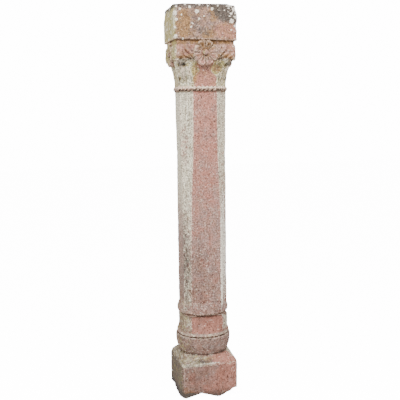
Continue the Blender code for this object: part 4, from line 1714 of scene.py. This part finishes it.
@dataclass
class CableMoulding:
    """The twisted cable moulding round the neck, strand by strand on a core."""

    name: str = "cable_moulding"
    half: float = 0.1200
    chamfer: float = 0.0585
    middle_z: float = 1.594
    radius: float = 0.0105
    strands: int = 38
    slant: float = math.radians(38.0)
    core_darkness: float = 0.9
    weather: Weather = Weather(
        sway=0.0005, rough=0.0009, rough_size=0.009, chip=0.0, pit=0.0008, pit_size=0.007, seed=8.0)

    def path(self) -> bpy.types.Mesh:
        """The closed line that the cable follows, round the top of the shaft.

        Returns:
            A mesh of edges alone.
        """
        edge = self.half - self.chamfer
        corners = whole_ring(
            np.array([(self.half, edge, self.middle_z)]), np.array([(edge, self.half, self.middle_z)]))
        mesh = bpy.data.meshes.new("cable_path")
        count = len(corners)
        mesh.from_pydata(corners.tolist(), [(i, (i + 1) % count) for i in range(count)], [])
        return mesh

    def tree(self, works: Works) -> Tree:
        """The geometry nodes that lay slanting strands along the path, over a smooth core.

        Args:
            works: The yard, whose weathering the tree uses.

        Returns:
            The finished tree.
        """
        group = Group("cable_strands", "Geometry")
        path, strands, radius, slant = group.takes(
            geometry="Geometry", strands=self.strands, radius=self.radius, slant=self.slant)
        sizes = group.weather()
        curve = group.flow("GeometryNodeMeshToCurve", {"Mesh": path})
        curve = group.flow("GeometryNodeSetCurveNormal", {"Curve": curve}, mode="Z_UP")
        points = group.node("GeometryNodeCurveToPoints", {"Curve": curve, "Count": strands}, mode="COUNT")
        bead = group.ball(14, 10, radius * 0.88, radius * 1.60)
        bead = group.moved(bead, Rotation=group.vector(0.0, slant, 0.0))
        along = {"Vector": Flow(group, points.outputs["Tangent"])}
        along = group.flow("FunctionNodeAlignRotationToVector", along, axis="X", pivot_axis="Z")
        beads = {"Points": Flow(group, points.outputs["Points"]), "Instance": bead, "Rotation": along}
        beads = group.flow("GeometryNodeInstanceOnPoints", beads)
        ring = group.flow("GeometryNodeCurvePrimitiveCircle", {"Radius": radius * 0.84, "Resolution": 14})
        smooth = group.flow("GeometryNodeResampleCurve", {"Curve": curve, "Count": 220})
        core = group.flow("GeometryNodeCurveToMesh", {"Curve": smooth, "Profile Curve": ring})
        # Painted shade on the core between the strands.
        dark = {"Geometry": core, "Name": "crease", "Value": self.core_darkness}
        core = group.flow("GeometryNodeStoreNamedAttribute", dark, data_type="FLOAT", domain="POINT")
        return works.finish_tree(group, group.join(beads, core), sizes)

    def build(self, works: Works, stains: Weathering, material: bpy.types.Material) -> bpy.types.Object:
        """Builds the cable as one piece.

        Args:
            works: The yard that runs the geometry nodes.
            stains: Where the stains lie.
            material: The finish of the stone.

        Returns:
            The finished piece.
        """
        inputs = self.weather.inputs() | {
            "Material": material, "Strands": self.strands, "Radius": self.radius, "Slant": self.slant,
        }
        piece = works.run(self.name, self.path(), self.tree(works), inputs)
        surface = Surface(piece.data)
        # Painted shade on the cable's lower half: the core keeps its shade only there, and the strands below
        # the middle darken too.
        below = self.middle_z - surface.points[:, 2]
        crease = surface.kept("crease") * rise(-0.005, 0.001, below)
        surface.keep("crease", np.maximum(crease, 0.75 * rise(0.001, 0.008, below)))
        stains.stain(piece.data, 2)
        return piece


@dataclass(frozen=True)
class Studio:
    """The plain pale floor, the soft lights and the camera at the photograph's viewing angle."""

    focal: float = 680.0
    frame: float = 400.0
    azimuth: float = -0.208
    distance: float = 3.531
    height: float = 1.501
    pitch: float = 0.135
    roll: float = 0.012
    yaw: float = 0.001
    slide: float = 0.0031
    sky: float = 0.50
    key: float = 190.0
    fill: float = 130.0
    backdrop: float = 15.0
    floor_glow: float = 14.0
    floor_reach: float = 14.0

    def camera(self) -> None:
        """Places the camera as it was fitted to the column's edges in the photograph."""
        data = bpy.data.cameras.new("view")
        data.sensor_width = 36.0
        data.lens = data.sensor_width * self.focal / self.frame
        across = Vector((math.cos(self.azimuth), math.sin(self.azimuth), 0.0))
        stand = self.distance * Vector((math.sin(self.azimuth), -math.cos(self.azimuth), 0.0))
        stand.z = self.height
        turn, level = self.azimuth + self.yaw, math.cos(self.pitch)
        forward = Vector((-math.sin(turn) * level, math.cos(turn) * level, -math.sin(self.pitch)))
        right = forward.cross(Vector((0.0, 0.0, 1.0))).normalized()
        up = right.cross(forward)
        cosine, sine = math.cos(self.roll), math.sin(self.roll)
        axes = (right * cosine - up * sine, right * sine + up * cosine, -forward)
        turned = Matrix(axes).transposed().to_4x4()
        camera = put_up("view", data)
        camera.matrix_world = Matrix.Translation(stand - self.slide * across) @ turned
        bpy.context.scene.camera = camera

    def lamp(self, name: str, place: tuple[float, float, float], size: float, power: float) -> None:
        """Hangs a soft square light that looks at the middle of the column.

        Args:
            name: The light's name.
            place: Where it hangs.
            size: Its width.
            power: Its watts.
        """
        data = bpy.data.lights.new(name, "AREA")
        data.size, data.energy = size, power
        lamp = put_up(name, data)
        lamp.location = place
        lamp.rotation_euler = (Vector((0.0, 0.0, 1.0)) - Vector(place)).to_track_quat("-Z", "Y").to_euler()

    def world(self) -> None:
        """An even white surround, softer as a light than it looks behind the column."""
        world = bpy.data.worlds.new("pale_surround")
        bpy.context.scene.world = world
        world.use_nodes = True
        wires, surround = Wiring(world.node_tree), world.node_tree.nodes["Background"].inputs
        seen = wires.flow("ShaderNodeLightPath", {}, "Is Camera Ray")
        wires.feed(surround["Color"], (1.0, 1.0, 1.0, 1.0))
        wires.feed(surround["Strength"], wires.span(seen, 0.0, 1.0, self.sky, self.backdrop, kind="LINEAR"))

    def floor(self) -> None:
        """The plain pale floor, which isn't part of the column."""
        reach = self.floor_reach
        corners = [(x * reach, y * reach, 0.0) for x, y in ((-1, -1), (1, -1), (1, 1), (-1, 1))]
        mesh = bpy.data.meshes.new("floor")
        mesh.from_pydata(corners, [], [(0, 1, 2, 3)])
        material = bpy.data.materials.new("pale_floor")
        material.use_nodes = True
        wires, shader = Wiring(material.node_tree), material.node_tree.nodes["Principled BSDF"].inputs
        seen = wires.flow("ShaderNodeLightPath", {}, "Is Camera Ray")
        for name, value in (
            ("Base Color", (0.93, 0.93, 0.925, 1.0)), ("Roughness", 0.9),
            ("Emission Color", (1.0, 1.0, 1.0, 1.0)), ("Emission Strength", seen * self.floor_glow),
        ):
            wires.feed(shader[name], value)
        mesh.materials.append(material)
        floor = put_up("floor", mesh)

    def set_up(self) -> None:
        """Puts up the floor, the lights and the camera."""
        self.floor()
        self.world()
        self.lamp("key", (1.0, -2.5, 4.1), 1.2, self.key)
        self.lamp("fill", (-2.6, -1.6, 3.3), 1.8, self.fill)
        self.camera()


def hand_over(piece: bpy.types.Object) -> None:
    """Rides the piece on the column's body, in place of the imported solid, and reports it.

    Args:
        piece: The finished piece.
    """
    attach(piece, "root")
    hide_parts("column")
    triangles = sum(len(face.vertices) - 2 for face in piece.data.polygons)
    LOG.info("%s: %d triangles", piece.name, triangles)


def main() -> None:
    """Builds the column's pieces in order, then the studio."""
    logging.basicConfig(level=logging.INFO, format="%(name)s: %(message)s")
    works, effects, stains = Works(), Effects(), Weathering()
    tree = works.skin_tree()
    base = BaseSkin(
        "column_base", Stations(8, 37, 10), 0.0034,
        Weather(chip=0.009, chip_size=0.022, rough=0.0016, seed=1.0),
        SandstoneFinish("base_sandstone", bump=0.0012, contrast=0.60, pits=0.26),
    )
    shaft = ShaftSkin(
        "column_shaft", Stations(6, 16, 16), 0.0040, Weather(chip=0.0030, rough=0.0007, seed=2.0),
        SandstoneFinish("shaft_sandstone", contrast=0.88, pits=0.17, streak_width=0.0060, cut_streaks=0.80),
    )
    capital = CapitalSkin(
        "column_capital", Stations(14, 30, 8), 0.0035, Weather(chip=0.0060, rough=0.0012, seed=3.0),
        SandstoneFinish("capital_sandstone", contrast=0.95, pits=0.13, streak_width=0.007),
        chips=(
            (-0.158, -0.158, 1.998, 0.045, 0.010), (0.158, -0.158, 1.806, 0.024, 0.006),
            (0.158, -0.158, 1.998, 0.055, 0.010), (-0.158, 0.158, 1.998, 0.060, 0.011),
            (0.158, -0.158, 1.895, 0.030, 0.004), (0.158, -0.158, 1.850, 0.022, 0.004),
            (-0.158, -0.158, 1.915, 0.030, 0.003), (-0.158, -0.158, 1.860, 0.026, 0.004),
        ),
    )
    for skin in (base, shaft, capital):
        hand_over(skin.build(works, tree, stains, effects))
    carved = bpy.data.materials["capital_sandstone"]
    hand_over(Flowers().build(works, stains, carved))
    hand_over(CableMoulding().build(works, stains, carved))
    Studio().set_up()


if __name__ == "__main__":
    main()
